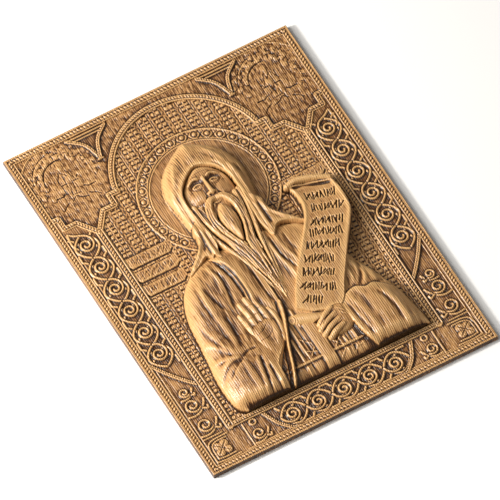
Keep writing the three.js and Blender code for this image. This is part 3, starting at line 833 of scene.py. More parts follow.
def leaf_scroll(patch, centre, hand, scale):
    """A spiral with a curled leaf at its side and a stalk."""
    share = np.linspace(0, 1, 36)
    angle = math.pi * (0.15 + 3.2 * share)
    radius = 6.6 + (1.3 - 6.6) * share**1.1
    coil = np.column_stack([radius * np.cos(angle), -radius * np.sin(angle)])
    stalk = curve([(-9.5, -8.5), (-2.0, -9.6), (4.0, -7.4), (6.6, -2.5)])
    leaf = curve([(5.5, -5.2), (9.0, -2.0), (11.5, 3.0)], 5)
    tip = curve([(5.5, -5.2), (10.0, -7.6), (11.0, -4.0)], 5)
    for path, half, crest in ((stalk, 1.2, 5.2), (leaf, 1.3, 5.2), (tip, 1.2, 5.3), (coil, 1.15, 5.5)):
        strand(patch, set_out(path, centre, hand, scale), half, crest, half + 0.5, foot=GROUND, ends=0.1)


# The corner square, from its centre: outlines with their steps, petals as place and radius, and two scores
SQUARE_LINES = (
    (8, [(11.5, -12.0), (11.5, 2.0), (9.0, 9.0), (2.0, 11.5), (-11.5, 12.0)]),
    (8, [(8.5, -9.0), (8.5, 1.0), (6.5, 6.5), (1.0, 8.8), (-8.5, 9.0)]),
    (6, [(-13.0, -12.6), (2.0, -13.0), (11.5, -12.0)]),
    (6, [(-9.5, -9.6), (1.0, -10.0), (8.5, -9.0)]),
)
PETALS = ((-3.4, 3.6, 4.6), (3.2, 3.0, 4.2), (3.4, -4.0, 4.6), (-4.4, -3.4, 4.2), (0, 0, 2.4))
FLOWER_SCORES = ([(-6.5, -6.0), (0.5, 0.5), (6.5, 6.0)], [(6.0, -6.0), (-6.0, 6.0)])


def corner_square(patch, side):
    """Nested round-cornered outlines about a lobed flower, in the corner of the border."""
    centre = (side * BAND_X, -172.5)
    for steps, points in SQUARE_LINES:
        ridge(patch, set_out(curve(points, steps), centre, side), 1.0, 5.0)
    for x, y, radius in PETALS:
        middle = set_out((x, y), centre, side)
        petal = bump(patch.x, patch.y, *middle, radius, radius)
        patch.z = np.maximum(patch.z, GROUND + 1.5 * petal**0.5)
    for points in FLOWER_SCORES:
        groove(patch, set_out(points, centre, side), 0.8, 0.9, ends=0.1)


def tooling(patch, depth, seed):
    """Shallow uneven tool marks on a ground."""
    patch.z += depth * wander(patch.x, patch.y * 0.45, 3.4, seed)
    patch.z += 0.5 * depth * wander(patch.x, patch.y * 0.6, 1.9, seed + 1)


TOP_LEAVES = ([(138.0, 97.5), (139.5, 84.0), (136.0, 76.5)], [(139.0, 97.0), (133.0, 92.5), (127.0, 90.0)])


def leaf_ground(patch, beneath, seed):
    """Levels the ground under the leaf scrolls, with shallow tool marks."""
    marks = 0.08 * wander(patch.x, patch.y * 0.45, 3.0, seed)
    patch.z = np.where(beneath, GROUND + marks, patch.z)


def band_piece(wood, side, name):
    """One side band: knotwork, leaf scrolls and the corner square, with the inner post."""
    left, right = sorted((side * (FIELD_HALF - 0.3), side * (HALF_WIDTH - RIM_WIDTH + LAP)))
    patch = Patch(left, -HALF_HEIGHT + RIM_WIDTH - LAP, right, SPRING_Y + 3.4, FINE)
    patch.z -= GROUND - KNOT_GROUND
    tooling(patch, 0.09, 11 if side < 0 else 12)
    knot_band(patch, 6, side, band_points(side, STEP_Y - 25.3))
    for points in TOP_LEAVES:
        ridge(patch, on_side(curve(points), side), 1.2, 5.3, ends=0.1)
    limit = np.interp(side * patch.x, SIDE_DIVIDER[::-1, 0], SIDE_DIVIDER[::-1, 1])
    leaf_ground(patch, patch.y < limit, 21)
    for y, scale in ((-104.5, 0.78), (-120.0, 1.16), (-143.5, 1.16)):
        leaf_scroll(patch, (side * (BAND_X + 1.5), y), -side, scale)
    ridge(patch, on_side([(139.0, -157.5), (120.0, -157.5)], side), 0.8, 5.0)
    corner_square(patch, side)
    moulding(patch, on_side(SIDE_DIVIDER[::-1], side), turned(DIVIDER_COURSES, -side), DIVIDER_ROOM)
    ridge(patch, on_side([(139.6, 96.0), (139.6, -185.5)], side), 0.7, 4.7)
    post = on_side([(POST_X, FIELD_BOTTOM - SILL_HEIGHT / 2), (POST_X, POST_TOP)], side)
    moulding(patch, post, POST_COURSES, 4.2)
    depth = bracket_depth(patch, side)
    patch.drop(depth > 0)
    patch.z = np.where(depth > -0.5, SUNK, patch.z)
    piece(name, patch, SEAT, wood)


def bracket_depth(patch, side):
    """How far each point lies above the middle of the bracket moulding."""
    path = bracket_path()
    corners = [(160.0, path[-1][1]), (160.0, 220.0), (0.0, 220.0), (0.0, path[0][1])]
    return depth_inside(patch, on_side(np.vstack([path, corners]), side), 12.0)


def foot_piece(wood):
    """The foot band: five rosettes between slanted bead rows, and leaf scrolls beside the corners."""
    edge = FIELD_HALF + POST_WIDTH - 0.3
    patch = Patch(-edge - 1.0, -HALF_HEIGHT + RIM_WIDTH - LAP, edge + 1.0, FIELD_BOTTOM + 0.3, FINE)
    patch.z -= GROUND - KNOT_GROUND
    tooling(patch, 0.09, 31)
    knot_band(patch, 5, 1, foot_points)
    limit = np.interp(patch.y, FOOT_DIVIDER[::-1, 1], FOOT_DIVIDER[::-1, 0])
    for side in (-1, 1):
        leaf_ground(patch, side * patch.x > limit, 41)
        leaf_scroll(patch, (side * 91.0, -175.5), -side, 0.95)
        ridge(patch, ring((side * 90.5, -162.3), 3.0, 18), 1.0, 5.2, closed=True)
        ridge(patch, on_side([(100.5, -159.0), (100.5, -186.0)], side), 0.9, 5.0)
        moulding(patch, on_side(FOOT_DIVIDER, side), turned(DIVIDER_COURSES, side), DIVIDER_ROOM)
    ridge(patch, [(-107.0, -185.6), (107.0, -185.6)], 0.7, 4.7)
    sill_y = FIELD_BOTTOM - SILL_HEIGHT / 2
    moulding(patch, [(-POST_X - 3.0, sill_y), (POST_X + 3.0, sill_y)], SILL_COURSES, 3.3)
    away = np.abs(patch.x)
    in_post = (away > POST_X - 3.9) & (patch.y > sill_y - 0.5)
    patch.z = np.where(in_post | (away > edge - 0.2), SUNK, patch.z)
    piece("band_foot", patch, SEAT, wood)


# Upper corners

def cloud_row(patch, centre, radius, start, end, count, lobe, rise, seed):
    """A row of low uneven scallops on an arc, each with a short mark at its foot."""
    draw = np.random.default_rng(seed)
    for angle in np.radians(np.linspace(start, end, count)):
        size = lobe * draw.uniform(0.7, 1.3)
        away = radius + draw.uniform(-1.8, 1.8)
        x = centre[0] + away * math.cos(angle)
        y = centre[1] + away * math.sin(angle)
        mound = bump(patch.x, patch.y, x, y, size * draw.uniform(0.7, 1.6), size, draw.uniform(-60, 60))
        patch.z += rise * draw.uniform(0.4, 1.0) * mound**0.8
        first = math.degrees(angle) + draw.uniform(-150, 60)
        groove(patch, arc((x, y), size * 0.9, first, first + draw.uniform(50, 130), 8), 0.6, 0.6, ends=0.2)


# A seated figure from its medallion's centre: mounds as place, radii, rise and tilt; folds of its clothes;
# desk and steps; hills
SEATED_MOUNDS = (
    (0, 13, 7.4, 7.4, 0.35, 0), (0, 12, 3.4, 4.4, 0.7, 0), (0, 1, 7.5, 11, 0.7, 10),
    (-6, -7, 6, 9, 0.6, -25), (6, -11, 8, 6, 0.7, 15), (-1, -19, 10, 5, 0.5, 0), (14, -10, 7, 7, 0.45, 0),
)
SEATED_FOLDS = (
    [(3, 8), (9, -4)], [(-3, 8), (-8, -6)], [(1, 6), (3, -12)], [(-4, -4), (-2, -20)],
    [(8, -8), (6, -22)], [(0, -10), (4, -24)], [(-3, 0), (3, 7)], [(-12, -2), (-7, -7)],
)
DESK_LINES = (
    [(-10.5, -7), (-4.5, -7)], [(1, -7), (8, -7)],
    [(-23, -17.5), (-15, -18), (-12, -16), (-10, -15.6)], [(8, -15.6), (11, -18), (19.5, -17.5)],
)
HILL_LINES = (
    [(-21.5, -32), (-18, -28), (-13, -25.5), (-11.5, -24.5)], [(-11, -28), (-4, -26), (1, -22.5), (6, -27)],
    [(9, -26), (14, -28.5), (19, -33)], [(-6, -21), (3, -20)],
)


def seated_figure(patch, centre, side):
    """A generic seated figure in very low relief, with a small halo, a desk, steps and a hill."""
    for x, y, radius_x, radius_y, rise, tilt in SEATED_MOUNDS:
        place = set_out((x, y), centre, side)
        patch.z += rise * bump(patch.x, patch.y, *place, radius_x, radius_y, side * tilt) ** 0.8
    head = set_out((0, 13), centre, side)
    groove(patch, arc(head, 7.0, 60, 190, 14), 0.6, 0.4, ends=0.2)
    for line in SEATED_FOLDS:
        groove(patch, set_out(line, centre, side), 0.8, 0.6, ends=0.2)
    for line in DESK_LINES:
        groove(patch, set_out(line, centre, side), 0.9, 1.0, ends=0.1)
    for line in HILL_LINES:
        groove(patch, set_out(curve(line, 5), centre, side), 0.8, 0.7, ends=0.1)


def medallion(patch, side):
    """A seated figure inside rings and rows of cloud scallops."""
    centre = (side * (HALF_WIDTH - 41.5), HALF_HEIGHT - 42.5)
    start, end = (15, 190) if side < 0 else (-10, 165)
    cloud_row(patch, centre, 23.5, start, end, 20, 3.2, 0.8, 53)
    cloud_row(patch, centre, 28.5, start - 30, end + 30, 26, 3.0, 0.7, 54)
    cloud_row(patch, centre, 33.5, start - 20, end + 20, 16, 2.6, 0.6, 55)
    groove(patch, arc(centre, 20.0, 75, 190, 30), 0.9, 1.0, ends=0.15)
    groove(patch, arc(centre, 30.0, 95, 178, 30), 0.8, 0.8, ends=0.15)
    corner = (side * (HALF_WIDTH - 40), HALF_HEIGHT - 44)
    start, end = (95, 170) if side < 0 else (10, 85)
    ridge(patch, arc(corner, 39.5, start, end, 20), 0.6, 4.7)
    seated_figure(patch, centre, side)


def below_mouldings(patch, side):
    """The points under the arch and its bracket, where the woven field lies."""
    away = np.abs(patch.x)
    in_arch = np.hypot(patch.x, patch.y - ARCH_Y) < ARCH_RADIUS - MOULDING_HALF
    under_bracket = bracket_depth(patch, side) < -MOULDING_HALF
    high = patch.y > SPRING_Y - MOULDING_HALF
    low = patch.y < SPRING_Y - MOULDING_HALF
    outside = np.where(away < 71, in_arch, under_bracket)
    return outside | (low & under_bracket) | (in_arch & (away < 80) & high)


def top_piece(wood, side, name):
    """An upper corner: a cloud-edged medallion, the pointed field beside the arch and the mouldings."""
    left, right = sorted((side * -0.15, side * (HALF_WIDTH - RIM_WIDTH + LAP)))
    patch = Patch(left, STEP_Y - 26.5, right, HALF_HEIGHT - RIM_WIDTH + LAP, MEDIUM)
    tooling(patch, 0.12, 51 if side < 0 else 52)
    patch.z += 0.16 * wander(patch.x, patch.y * 0.8, 7.0, 56) + 0.12 * wander(patch.x, patch.y, 1.5, 57)
    medallion(patch, side)
    hanging_field(patch, side)
    arch = arc((0, ARCH_Y), ARCH_RADIUS, 8.2, 90.4, 60)
    moulding(patch, on_side(arch, side), turned(ARCH_COURSES, side), 3.0)
    moulding(patch, on_side(bracket_path(), side), turned(BRACKET_COURSES, side), 3.0)
    outside = below_mouldings(patch, side)
    patch.z = np.where(outside, SUNK, patch.z)
    patch.drop(outside)
    piece(name, patch, SEAT, wood)


def hanging_field(patch, side):
    """The pointed field between a medallion and the arch."""
    x, y = side * 69.6, HALF_HEIGHT - 40.5
    top = HALF_HEIGHT - RIM_WIDTH - 2.0
    outer = curve([(x + side * 19.4, top), (x + side * 6.0, top - 12), (x, y)], 10)
    inner = curve([(x - side * 20.6, top), (x - side * 7.5, top - 12), (x, y)], 10)
    within = inside(patch, np.vstack([outer, inner[::-1]]))
    ground = GROUND + 0.06 * wander(patch.x, patch.y * 0.4, 2.5, 61)
    patch.z = np.where(within, ground, patch.z)
    for path, hand in ((outer, side), (inner, -side)):
        moulding(patch, path, turned(POINT_COURSES, hand), 2.2)
    bars = ((top - 0.2, 19.0, 0.8, 5.5), (top - 3.4, 13.0, 0.8, 5.5), (y - 0.6, 2.4, 0.9, 5.9))
    for level, reach, half, crest in bars:
        ridge(patch, [(x - reach, level), (x + reach, level)], half, crest)


# Woven ground, halo and labels

def weave_height(x, y):
    """Basket weave: pairs of small pads under dark slots, between double upright ribs."""
    across = np.abs((x + 2.4 + WEAVE / 2) % WEAVE - WEAVE / 2)
    down = (160.5 - y) % WEAVE
    pad = np.clip(1 - np.abs((across - 2.6) / 2.3) ** 3, 0, 1)
    height = 0.25 * pad - 0.1
    for level, half, depth in ((0.0, 0.75, 0.85), (5.7, 1.0, 0.6), (9.1, 0.75, 0.55)):
        away = np.abs((down - level + WEAVE / 2) % WEAVE - WEAVE / 2)
        height -= depth * pad * swell(away, half)
    for level, half, rise in ((3.0, 1.3, 0.5), (7.6, 0.8, 0.4), (11.7, 1.3, 0.6)):
        height += rise * pad * swell(down - level, half)
    height += 0.28 * swell(across - 5.5, 0.7) + 0.3 * swell(across, 0.5)
    height -= 0.4 * swell(across - 4.7, 0.5)
    return height - 0.22 * swell(across - WEAVE / 2, 0.6)


def strokes_row(patch, start, end, height, count, depth, seed, raised=False, width=0.78):
    """A row of short shallow strokes between two points: upright, slanted and level, none a letter."""
    draw = np.random.default_rng(seed)
    start = np.asarray(start, float)
    end = np.asarray(end, float)
    run = end - start
    unit = run / np.hypot(*run)
    up = np.array([-unit[1], unit[0]])
    sign = -1.0 if raised else 1.0
    for k in range(count):
        share = (k + draw.uniform(0.25, 0.75)) / count
        middle = start + run * share
        lean = draw.choice([-0.2, 0.0, 0.0, 0.15, 0.8])
        half = height * draw.uniform(0.34, 0.52)
        way = up + unit * lean
        way = way / np.hypot(*way)
        shift = up * draw.uniform(-0.1, 0.1) * height
        groove(patch, [middle + shift - way * half, middle + shift + way * half], width, sign * depth)


def label(patch, left, right, middle, half, seed, count=15):
    """A low strip of uneven strokes, with a faint line above and a deep one with turned-up ends below."""
    low, high = middle - half, middle + half
    strip = [(left, low), (right, low), (right + 2, low + 3), (right + 2, high), (left - 1, high)]
    depth = depth_inside(patch, strip, 8.0)
    level = GROUND + 0.35 * ramp(depth - 0.3, 0.9) + 0.16 * wander(patch.x, patch.y * 0.5, 2.0, seed)
    patch.z = np.where(depth > -0.6, level, patch.z)
    start, end = (left + 2, middle), (right - 1, middle)
    strokes_row(patch, start, end, half * 1.35, count, 0.5, seed, raised=True)
    strokes_row(patch, start, end, half * 1.1, count, 0.35, seed + 40)
    below = [(left - 1.5, low + 3.0), (left + 1.0, low), (right - 2.5, low), (right + 1.0, low + 3.2)]
    groove(patch, below, 1.25, 1.9)
    groove(patch, [(left + 1.0, high), (right - 3.0, high)], 0.8, 0.7)


def halo(patch):
    """A smooth disc with a thin rim, and round it a ring of small circles and zigzags."""
    radius = np.hypot(patch.x - HALO_CENTRE[0], patch.y - HALO_CENTRE[1])
    disc = GROUND + 0.8 + 0.05 * wander(patch.x, patch.y * 0.3, 6.0, 71)
    disc += 0.07 * wander(patch.x, patch.y * 0.12, 2.2, 73)
    band = GROUND + 0.4 + 0.2 * wander(patch.x, patch.y * 0.6, 2.2, 72)
    patch.z = np.where(radius < HALO_OUTER, band, patch.z)
    patch.z = np.where(radius < HALO_RADIUS, disc, patch.z)
    for edge, crest in ((HALO_RADIUS, 5.6), (HALO_OUTER, 5.3), (HALO_INNER, 5.0)):
        share = np.clip(np.abs(radius - edge) / 0.9, 0, 1)
        lift = GROUND + (crest - GROUND) * (1 - share * share)
        patch.z = np.where(share < 1, np.maximum(patch.z, lift), patch.z)
    for k in range(HALO_LINKS):
        angle = 2 * math.pi * (k + 0.5) / HALO_LINKS
        if not 226 < math.degrees(angle) < 314:
            halo_link(patch, angle)


def halo_point(radius, angle):
    """The place on the panel at a distance and an angle from the halo's centre."""
    return HALO_CENTRE[0] + radius * math.cos(angle), HALO_CENTRE[1] + radius * math.sin(angle)


def halo_link(patch, angle):
    """One small circle of the halo's ring with a dot in it, and the two wedges before it."""
    x, y = halo_point((HALO_INNER + HALO_OUTER) / 2, angle)
    ridge(patch, ring((x, y), 4.3, 20), 0.9, 4.95, closed=True)
    groove(patch, ring((x, y), 3.1, 20), 1.0, 0.5, closed=True)
    dot = bump(patch.x, patch.y, x, y, 2.2, 2.2)
    patch.z = np.where(dot > 0, np.maximum(patch.z, GROUND + 0.2 + 1.1 * dot), patch.z)
    middle = angle - math.pi / HALO_LINKS
    wedges = ((HALO_RADIUS + 3, HALO_RADIUS + 6, 0.045), (HALO_OUTER - 2, HALO_OUTER - 5, -0.045))
    for foot, tip, half in wedges:
        wedge = [halo_point(foot, middle - half), halo_point(tip, middle), halo_point(foot, middle + half)]
        groove(patch, wedge, 0.9, 1.0)


SILHOUETTE = curve(figure([
    (103, 0), (100, 22), (97, 40), (92, 58), (85, 76), (78, 92), (72, 112), (62, 138), (46, 156),
    (0, 164), (-48, 160), (-64, 152), (-78, 138), (-86, 122), (-91, 103), (-93, 85), (-96, 62),
    (-99, 42), (-99.5, 24), (-97, 8), (-90, 0),
]), 5)
HOOD = outline([
    (-1, 279.5), (6, 276), (15, 270.5), (25, 262.5), (33, 250), (37.5, 232), (35, 210), (31.5, 190),
    (28, 166), (-34, 166), (-38, 190), (-40, 210), (-42, 232), (-37, 250), (-28, 262), (-17.5, 270),
    (-8, 275.8),
])


def field_piece(wood):
    """The woven field inside the arch and the posts, with the halo and the label strips."""
    side = FIELD_HALF + 1.0
    patch = Patch(-side, FIELD_BOTTOM - 0.6, side, ARCH_Y + ARCH_RADIUS, WEAVE_CELL)
    patch.z = GROUND - 0.3 + weave_height(patch.x, patch.y)
    patch.z += 0.2 * wander(patch.x, patch.y, 2.2, 81) + 0.14 * wander(patch.x, patch.y, 5.0, 82)
    halo(patch)
    left = -FIELD_HALF + 1.8
    for row, length in enumerate((43.0, 41.5, 39.5)):
        label(patch, left, left + length, HALF_HEIGHT - 154.3 - 16.7 * row, 6.6, 90 + row)
    label(patch, 61.0, 102.5, HALF_HEIGHT - 151.0, 6.3, 95, count=13)
    patch.drop((depth_inside(patch, SILHOUETTE, 30.0) > 3.0) | (depth_inside(patch, HOOD, 30.0) > 3.0))
    away = np.abs(patch.x)
    radius = np.hypot(patch.x, patch.y - ARCH_Y)
    outside_arch = (radius > ARCH_RADIUS - 1.5) & ((away > 20) | (patch.y > SPRING_Y))
    above_bracket = np.maximum(bracket_depth(patch, 1), bracket_depth(patch, -1))
    edge = (away > FIELD_HALF + 0.4) | (patch.y < FIELD_BOTTOM - 0.2)
    patch.z = np.where((outside_arch & (above_bracket > -1.5)) | edge, SUNK, patch.z)
    patch.drop((radius > ARCH_RADIUS) & (above_bracket > 1.0))
    piece("woven_field", patch, SEAT, wood)


# Garments

def bordered(points, corners):
    """A region with a smooth border through figure points, closed by plain corners."""
    return np.vstack([curve(figure(points)), figure(corners)])


ROUNDED = np.vstack([SILHOUETTE, figure([(-94, -24), (104, -24)])])
MANTLE_LEFT = bordered([
    (-14, 167), (-9.5, 125), (-8.5, 84), (-14, 67), (-22, 51), (-33, 37), (-42, 26), (-44, 12), (-45, -2),
], [(-120, -2), (-120, 167)])
MANTLE_RIGHT = bordered([
    (14, 167), (16, 130), (22, 100), (30, 70), (40, 55), (41, 30), (50, -2),
], [(120, -2), (120, 167)])
SLEEVE_RIGHT = bordered([
    (50, -2), (43.5, 12), (40.5, 28), (39.5, 45), (41, 55), (49, 60), (59, 62.5), (68, 57.5), (77, 58.5),
    (92, 49), (112, 38),
], [(112, -2)])


def folds(patch, rows, lower=1.0, wider=1.0):
    """Folds given as rise, left width, right width and their points in figure measure."""
    for rise, left, right, points in rows:
        fold(patch, figure(points), rise * lower, left * wider, right * wider)


MANTLE_FOLDS = (
    (1.7, 5, 3, [(-64, 147), (-67, 117), (-66, 78), (-68, 47)]),
    (-1.1, 3, 2, [(-63, 132), (-59, 111), (-54, 96), (-52, 84)]),
    (1.2, 4, 3, [(-80, 133), (-80, 112), (-79, 94)]),
    (1.4, 6, 2.5, [(-84, 110), (-82, 87), (-76, 66), (-69, 50)]),
    (1.3, 5, 2.5, [(-92, 78), (-84, 70), (-76, 58), (-69, 49)]),
    (1.0, 4, 2, [(-96, 56), (-84, 53), (-70, 48)]),
    (-1.2, 4, 1.6, [(-68, 47), (-82, 45), (-92, 38), (-100, 28)]),
    (-1.1, 1.4, 4, [(-68, 46), (-80, 39), (-90, 30)]),
    (1.0, 4, 3, [(-69, 46), (-78, 50), (-92, 45)]),
    (1.6, 5, 2.5, [(-68, 47), (-70, 30), (-71, 4)]),
    (-1.0, 2, 3, [(-68, 46), (-64, 30), (-66, 8)]),
    (-2.4, 1.6, 3.2, [(-53, 42), (-56.5, 24), (-62, 0)]),
    (1.8, 4, 2, [(-57, 42), (-60.5, 24), (-66, 0)]),
    (-1.6, 1.2, 2.4, [(-50, 29), (-51, 15), (-52, 0)]),
    (1.2, 2.0, 2.0, [(-48.5, 34), (-48, 18), (-49, 0)]),
    (4.4, 10, 1.6, [(-41, 158), (-35, 146), (-31, 126), (-31, 106), (-35, 92)]),
    (-4.6, 1.2, 5, [(-36, 150), (-30, 130), (-29.5, 108), (-31, 94)]),
    (1.6, 5, 4, [(-24, 150), (-21, 122), (-20, 98), (-14, 74)]),
    (-1.0, 2, 1.4, [(-16, 150), (-14, 118), (-14, 98), (-11, 84)]),
    (1.2, 3.5, 2.2, [(-50, 152), (-46, 134), (-49, 116)]),
    (-1.3, 2.2, 2.2, [(-46, 146), (-41.5, 130), (-44, 112), (-48, 96)]),
    (1.0, 3, 2, [(-56, 104), (-53, 88), (-54, 70), (-58, 54)]),
    (-0.9, 2, 3, [(-60, 96), (-59, 76), (-63, 56)]),
    (0.9, 3, 3, [(-73, 146), (-74, 124), (-72, 100), (-69, 70)]),
    (-0.8, 2.5, 2.5, [(-72, 120), (-71, 95), (-70, 66)]),
    (0.8, 6, 3, [(-86, 22), (-82, 10), (-78, 2)]),
    (1.0, 4, 5, [(-90, 100), (-89, 84), (-84, 62)]),
    (-0.9, 2, 2, [(-69, 47), (-60, 51), (-50, 50)]),
)
RIGHT_FOLDS = (
    (1.6, 3, 2.4, [(14.5, 152), (15, 128), (19, 106), (24, 92)]),
    (-1.4, 1.4, 2.4, [(18, 152), (19, 130), (24, 112), (29, 96)]),
    (1.4, 2.2, 3, [(23, 152), (24.5, 134), (29, 118), (33, 108)]),
    (-0.9, 2, 3, [(31, 150), (32, 134), (36, 122)]),
    (1.0, 6, 4, [(48, 156), (52, 140), (56, 126)]),
    (1.8, 3.2, 4, [(66, 100), (73, 84), (74, 72), (68, 60)]),
    (-1.8, 3, 2.4, [(78, 98), (75, 84), (71, 72), (64, 62)]),
    (1.5, 3, 5, [(84, 84), (83, 72), (80, 60)]),
    (-1.2, 2.5, 3, [(90, 60), (84, 60), (76, 58)]),
    (1.0, 2, 3, [(60, 92), (64, 78), (60, 66)]),
    (-1.0, 1.6, 2, [(57, 84), (58, 74), (54, 64)]),
)
SLEEVE_FOLDS = (
    (-1.5, 1.3, 2.2, [(44, 54), (46, 32), (51, 2)]),
    (1.5, 2.2, 3, [(49, 58), (54, 36), (57, 2)]),
    (-0.9, 3, 2.4, [(56, 60), (60, 38), (62, 4)]),
    (-1.9, 2, 3, [(75, 50), (81, 28), (80, 0)]),
    (1.6, 3, 4, [(80, 52), (86, 30), (86, 0)]),
    (0.8, 5, 6, [(67, 52), (69, 30), (70, 4)]),
    (-0.9, 3, 3, [(92, 46), (96, 28), (96, 6)]),
    (0.8, 1.2, 1.4, [(40, 54), (41, 30), (46, 6)]),
)
ROBE_FOLDS = (
    (1.2, 2.4, 1.8, [(-20, 46), (-20, 16)]),
    (-1.0, 1.6, 1.6, [(-9.5, 62), (-9, 40), (-8, 16)]),
    (1.0, 2, 2, [(-14, 60), (-14.5, 40), (-14, 16)]),
    (1.0, 2, 2, [(-5, 74), (-4.5, 60), (-5, 50)]),
    (1.3, 2, 2, [(24, 24), (25, 15)]),
    (-0.8, 2, 2, [(18, 30), (18, 15)]),
    (0.8, 2, 2, [(34, 26), (35, 15)]),
    (-0.8, 1.8, 1.8, [(30, 26), (30, 15)]),
    (-1.1, 2.2, 2.2, [(-15, 12), (-14, 0)]),
    (0.9, 2.2, 2.2, [(-20, 12), (-20, 0)]),
    (1.0, 2.2, 2.2, [(22, 12), (21, 0)]),
    (-1.1, 2.4, 2.4, [(29, 12), (28, 0)]),
    (0.8, 2.2, 2.2, [(37, 12), (38, 0)]),
)
ROBE_STROKES = (
    [(-13, 40), (-4, 30)], [(-14, 26), (-3, 20)], [(-12, 18), (-4, 27)], [(11, 27), (21, 15)],
    [(12, 16), (22, 26)], [(11, 3), (22, 13)], [(26, 3), (32, 10)], [(30, 8), (38, 9)], [(12, 34), (17, 27)],
)
ROBE_STRIP = np.array([(-8, 86), (-12, 70), (-17, 57), (-25, 38), (-33, 15), (-41, -4)])


def lay_over(patch, region, height, width):
    """Lays a higher form over the patch inside a region, with a crisp edge."""
    patch.z = blend(patch.z, height, ramp(depth_inside(patch, region, 12.0), width))


def robe(patch, x, y):
    """The robe's chest between the mantle's edges: a belt, a strap, folds and crossing strokes."""
    belt = (y < 13.6) & (x > -34) & (x < 47)
    patch.z = patch.z + np.where(belt, -0.9, 0.0) + 0.6 * swell(y - 14.8, 1.2)
    folds(patch, ROBE_FOLDS)
    strap = ramp(np.minimum(np.minimum(x + 2.5, 9.0 - x), 52 - y), 1.0)
    patch.z = blend(patch.z, GROUND + 12.0 + 0.4 * np.cos((x - 3) / 3.4), strap)
    for stroke in ROBE_STROKES:
        fold(patch, figure(stroke), 0.8, 0.9, 0.9, steps=2)
    fold(patch, figure(ROBE_STRIP), 2.6, 2.8, 1.5, ends=(0.03, 0.0))


def garment_heights(patch):
    """The robe, the mantle over both arms and the wide sleeve."""
    x, y = patch.x, patch.y - FIELD_BOTTOM
    edge = depth_inside(patch, ROUNDED, 60.0)
    rounded = shoulder(edge, 24)
    patch.z = GROUND + 2 + 9 * shoulder(edge, 22)
    robe(patch, x, y)
    raised_arm = GROUND + 2.5 + 10.5 * rounded + 4.0 * bump(x, y, -74, 26, 46, 48) * rounded
    lay_over(patch, MANTLE_LEFT, raised_arm, 1.6)
    lay_over(patch, MANTLE_RIGHT, GROUND + 2.5 + 9.5 * rounded, 2.5)
    folds(patch, MANTLE_FOLDS, 0.64, 1.4)
    folds(patch, RIGHT_FOLDS, 0.6, 1.35)
    fold(patch, figure(ROBE_STRIP), 1.9, 2.6, 2.6, ends=(0.03, 0.0))
    fold(patch, figure(ROBE_STRIP - np.array([3.9, 0.0])), -1.5, 1.6, 1.6, ends=(0.03, 0.0))
    sleeve = GROUND + 3 + 10.5 * rounded + 3.2 * bump(x, y, 66, 26, 40, 46) * rounded
    lay_over(patch, SLEEVE_RIGHT, sleeve, 1.3)
    folds(patch, SLEEVE_FOLDS, 0.52, 1.5)
    patch.z += 0.12 * wander(x, y * 0.35, 5.0, 101) + 0.25 * wander(x, y * 0.5, 17.0, 102)
    patch.z += 0.08 * wander(x, y * 0.12, 2.8, 103)
    patch.z -= 6.5 * np.clip(1 - y / 11, 0, 1) ** 2 * np.clip((patch.z - 9) / 6, 0.2, 1)


def garments_piece(wood):
    """The robe, mantle and sleeves, cut low under the sheet and open under the hood and the beard."""
    patch = Patch(-102.0, FIELD_BOTTOM, 106.0, FIELD_BOTTOM + 167.0, MEDIUM)
    garment_heights(patch)
    under_sheet = ramp(depth_inside(patch, SCROLL, 8.0) - 2.0, 2.0)
    patch.z = blend(patch.z, np.minimum(patch.z, GROUND + 8.5), under_sheet)
    sink(patch, ROUNDED, SUNK, 1.0)
    patch.drop((depth_inside(patch, HOOD, 8.0) > 4.0) | (depth_inside(patch, BEARD, 8.0) > 4.0))
    piece("mantle", patch, SEAT, wood, 3.2)


# Hood and cape

OPENING = outline([
    (-3.5, 249), (-14, 244), (-24, 235), (-29.5, 224), (-30, 208), (-28.5, 190), (-27, 170), (-27, 148),
    (18, 148), (19, 170), (20, 190), (21.5, 208), (21, 224), (17, 236), (8, 245),
], 5)
CAPE_LEFT = outline([
    (-24, 200), (-38, 192), (-39.5, 180), (-44, 170), (-64, 150.5), (-53, 154.5), (-43, 160), (-39.5, 158.5),
    (-37, 155), (-34.5, 157.5), (-30.5, 151.5), (-26, 154), (-22, 160), (-20, 180),
], 5)
CAPE_RIGHT = outline([
    (20, 200), (32, 192), (33.5, 180), (38, 170), (58, 150.5), (49, 155.5), (40, 159), (32, 158.5),
    (27, 153), (23, 149), (20.5, 160), (18, 180),
], 5)
HOOD_FOLDS = (
    (1.3, 4, 3, [(-35, 240), (-39, 222), (-38, 200), (-37, 180)]),
    (-1.0, 3, 2.4, [(-33, 232), (-34.5, 212), (-34, 190)]),
    (1.2, 2.6, 3.4, [(24, 240), (27.5, 222), (27, 200), (26, 178)]),
    (-0.9, 2.6, 2.6, [(30, 236), (32.5, 214), (31, 192)]),
    (1.0, 5, 5, [(-2, 277), (-4, 264), (-5, 252)]),
    (-0.8, 4, 4, [(-12, 268), (-15, 256), (-20, 246)]),
    (1.0, 3, 3, [(-20, 262), (-27, 248), (-31, 236)]),
    (-1.6, 2.2, 1.4, [(12, 246), (17.5, 238), (19.5, 230)]),
    (1.0, 3, 3, [(12, 264), (20, 252), (25, 240)]),
    (-0.7, 3, 3, [(6, 262), (12, 254), (17, 246)]),
)
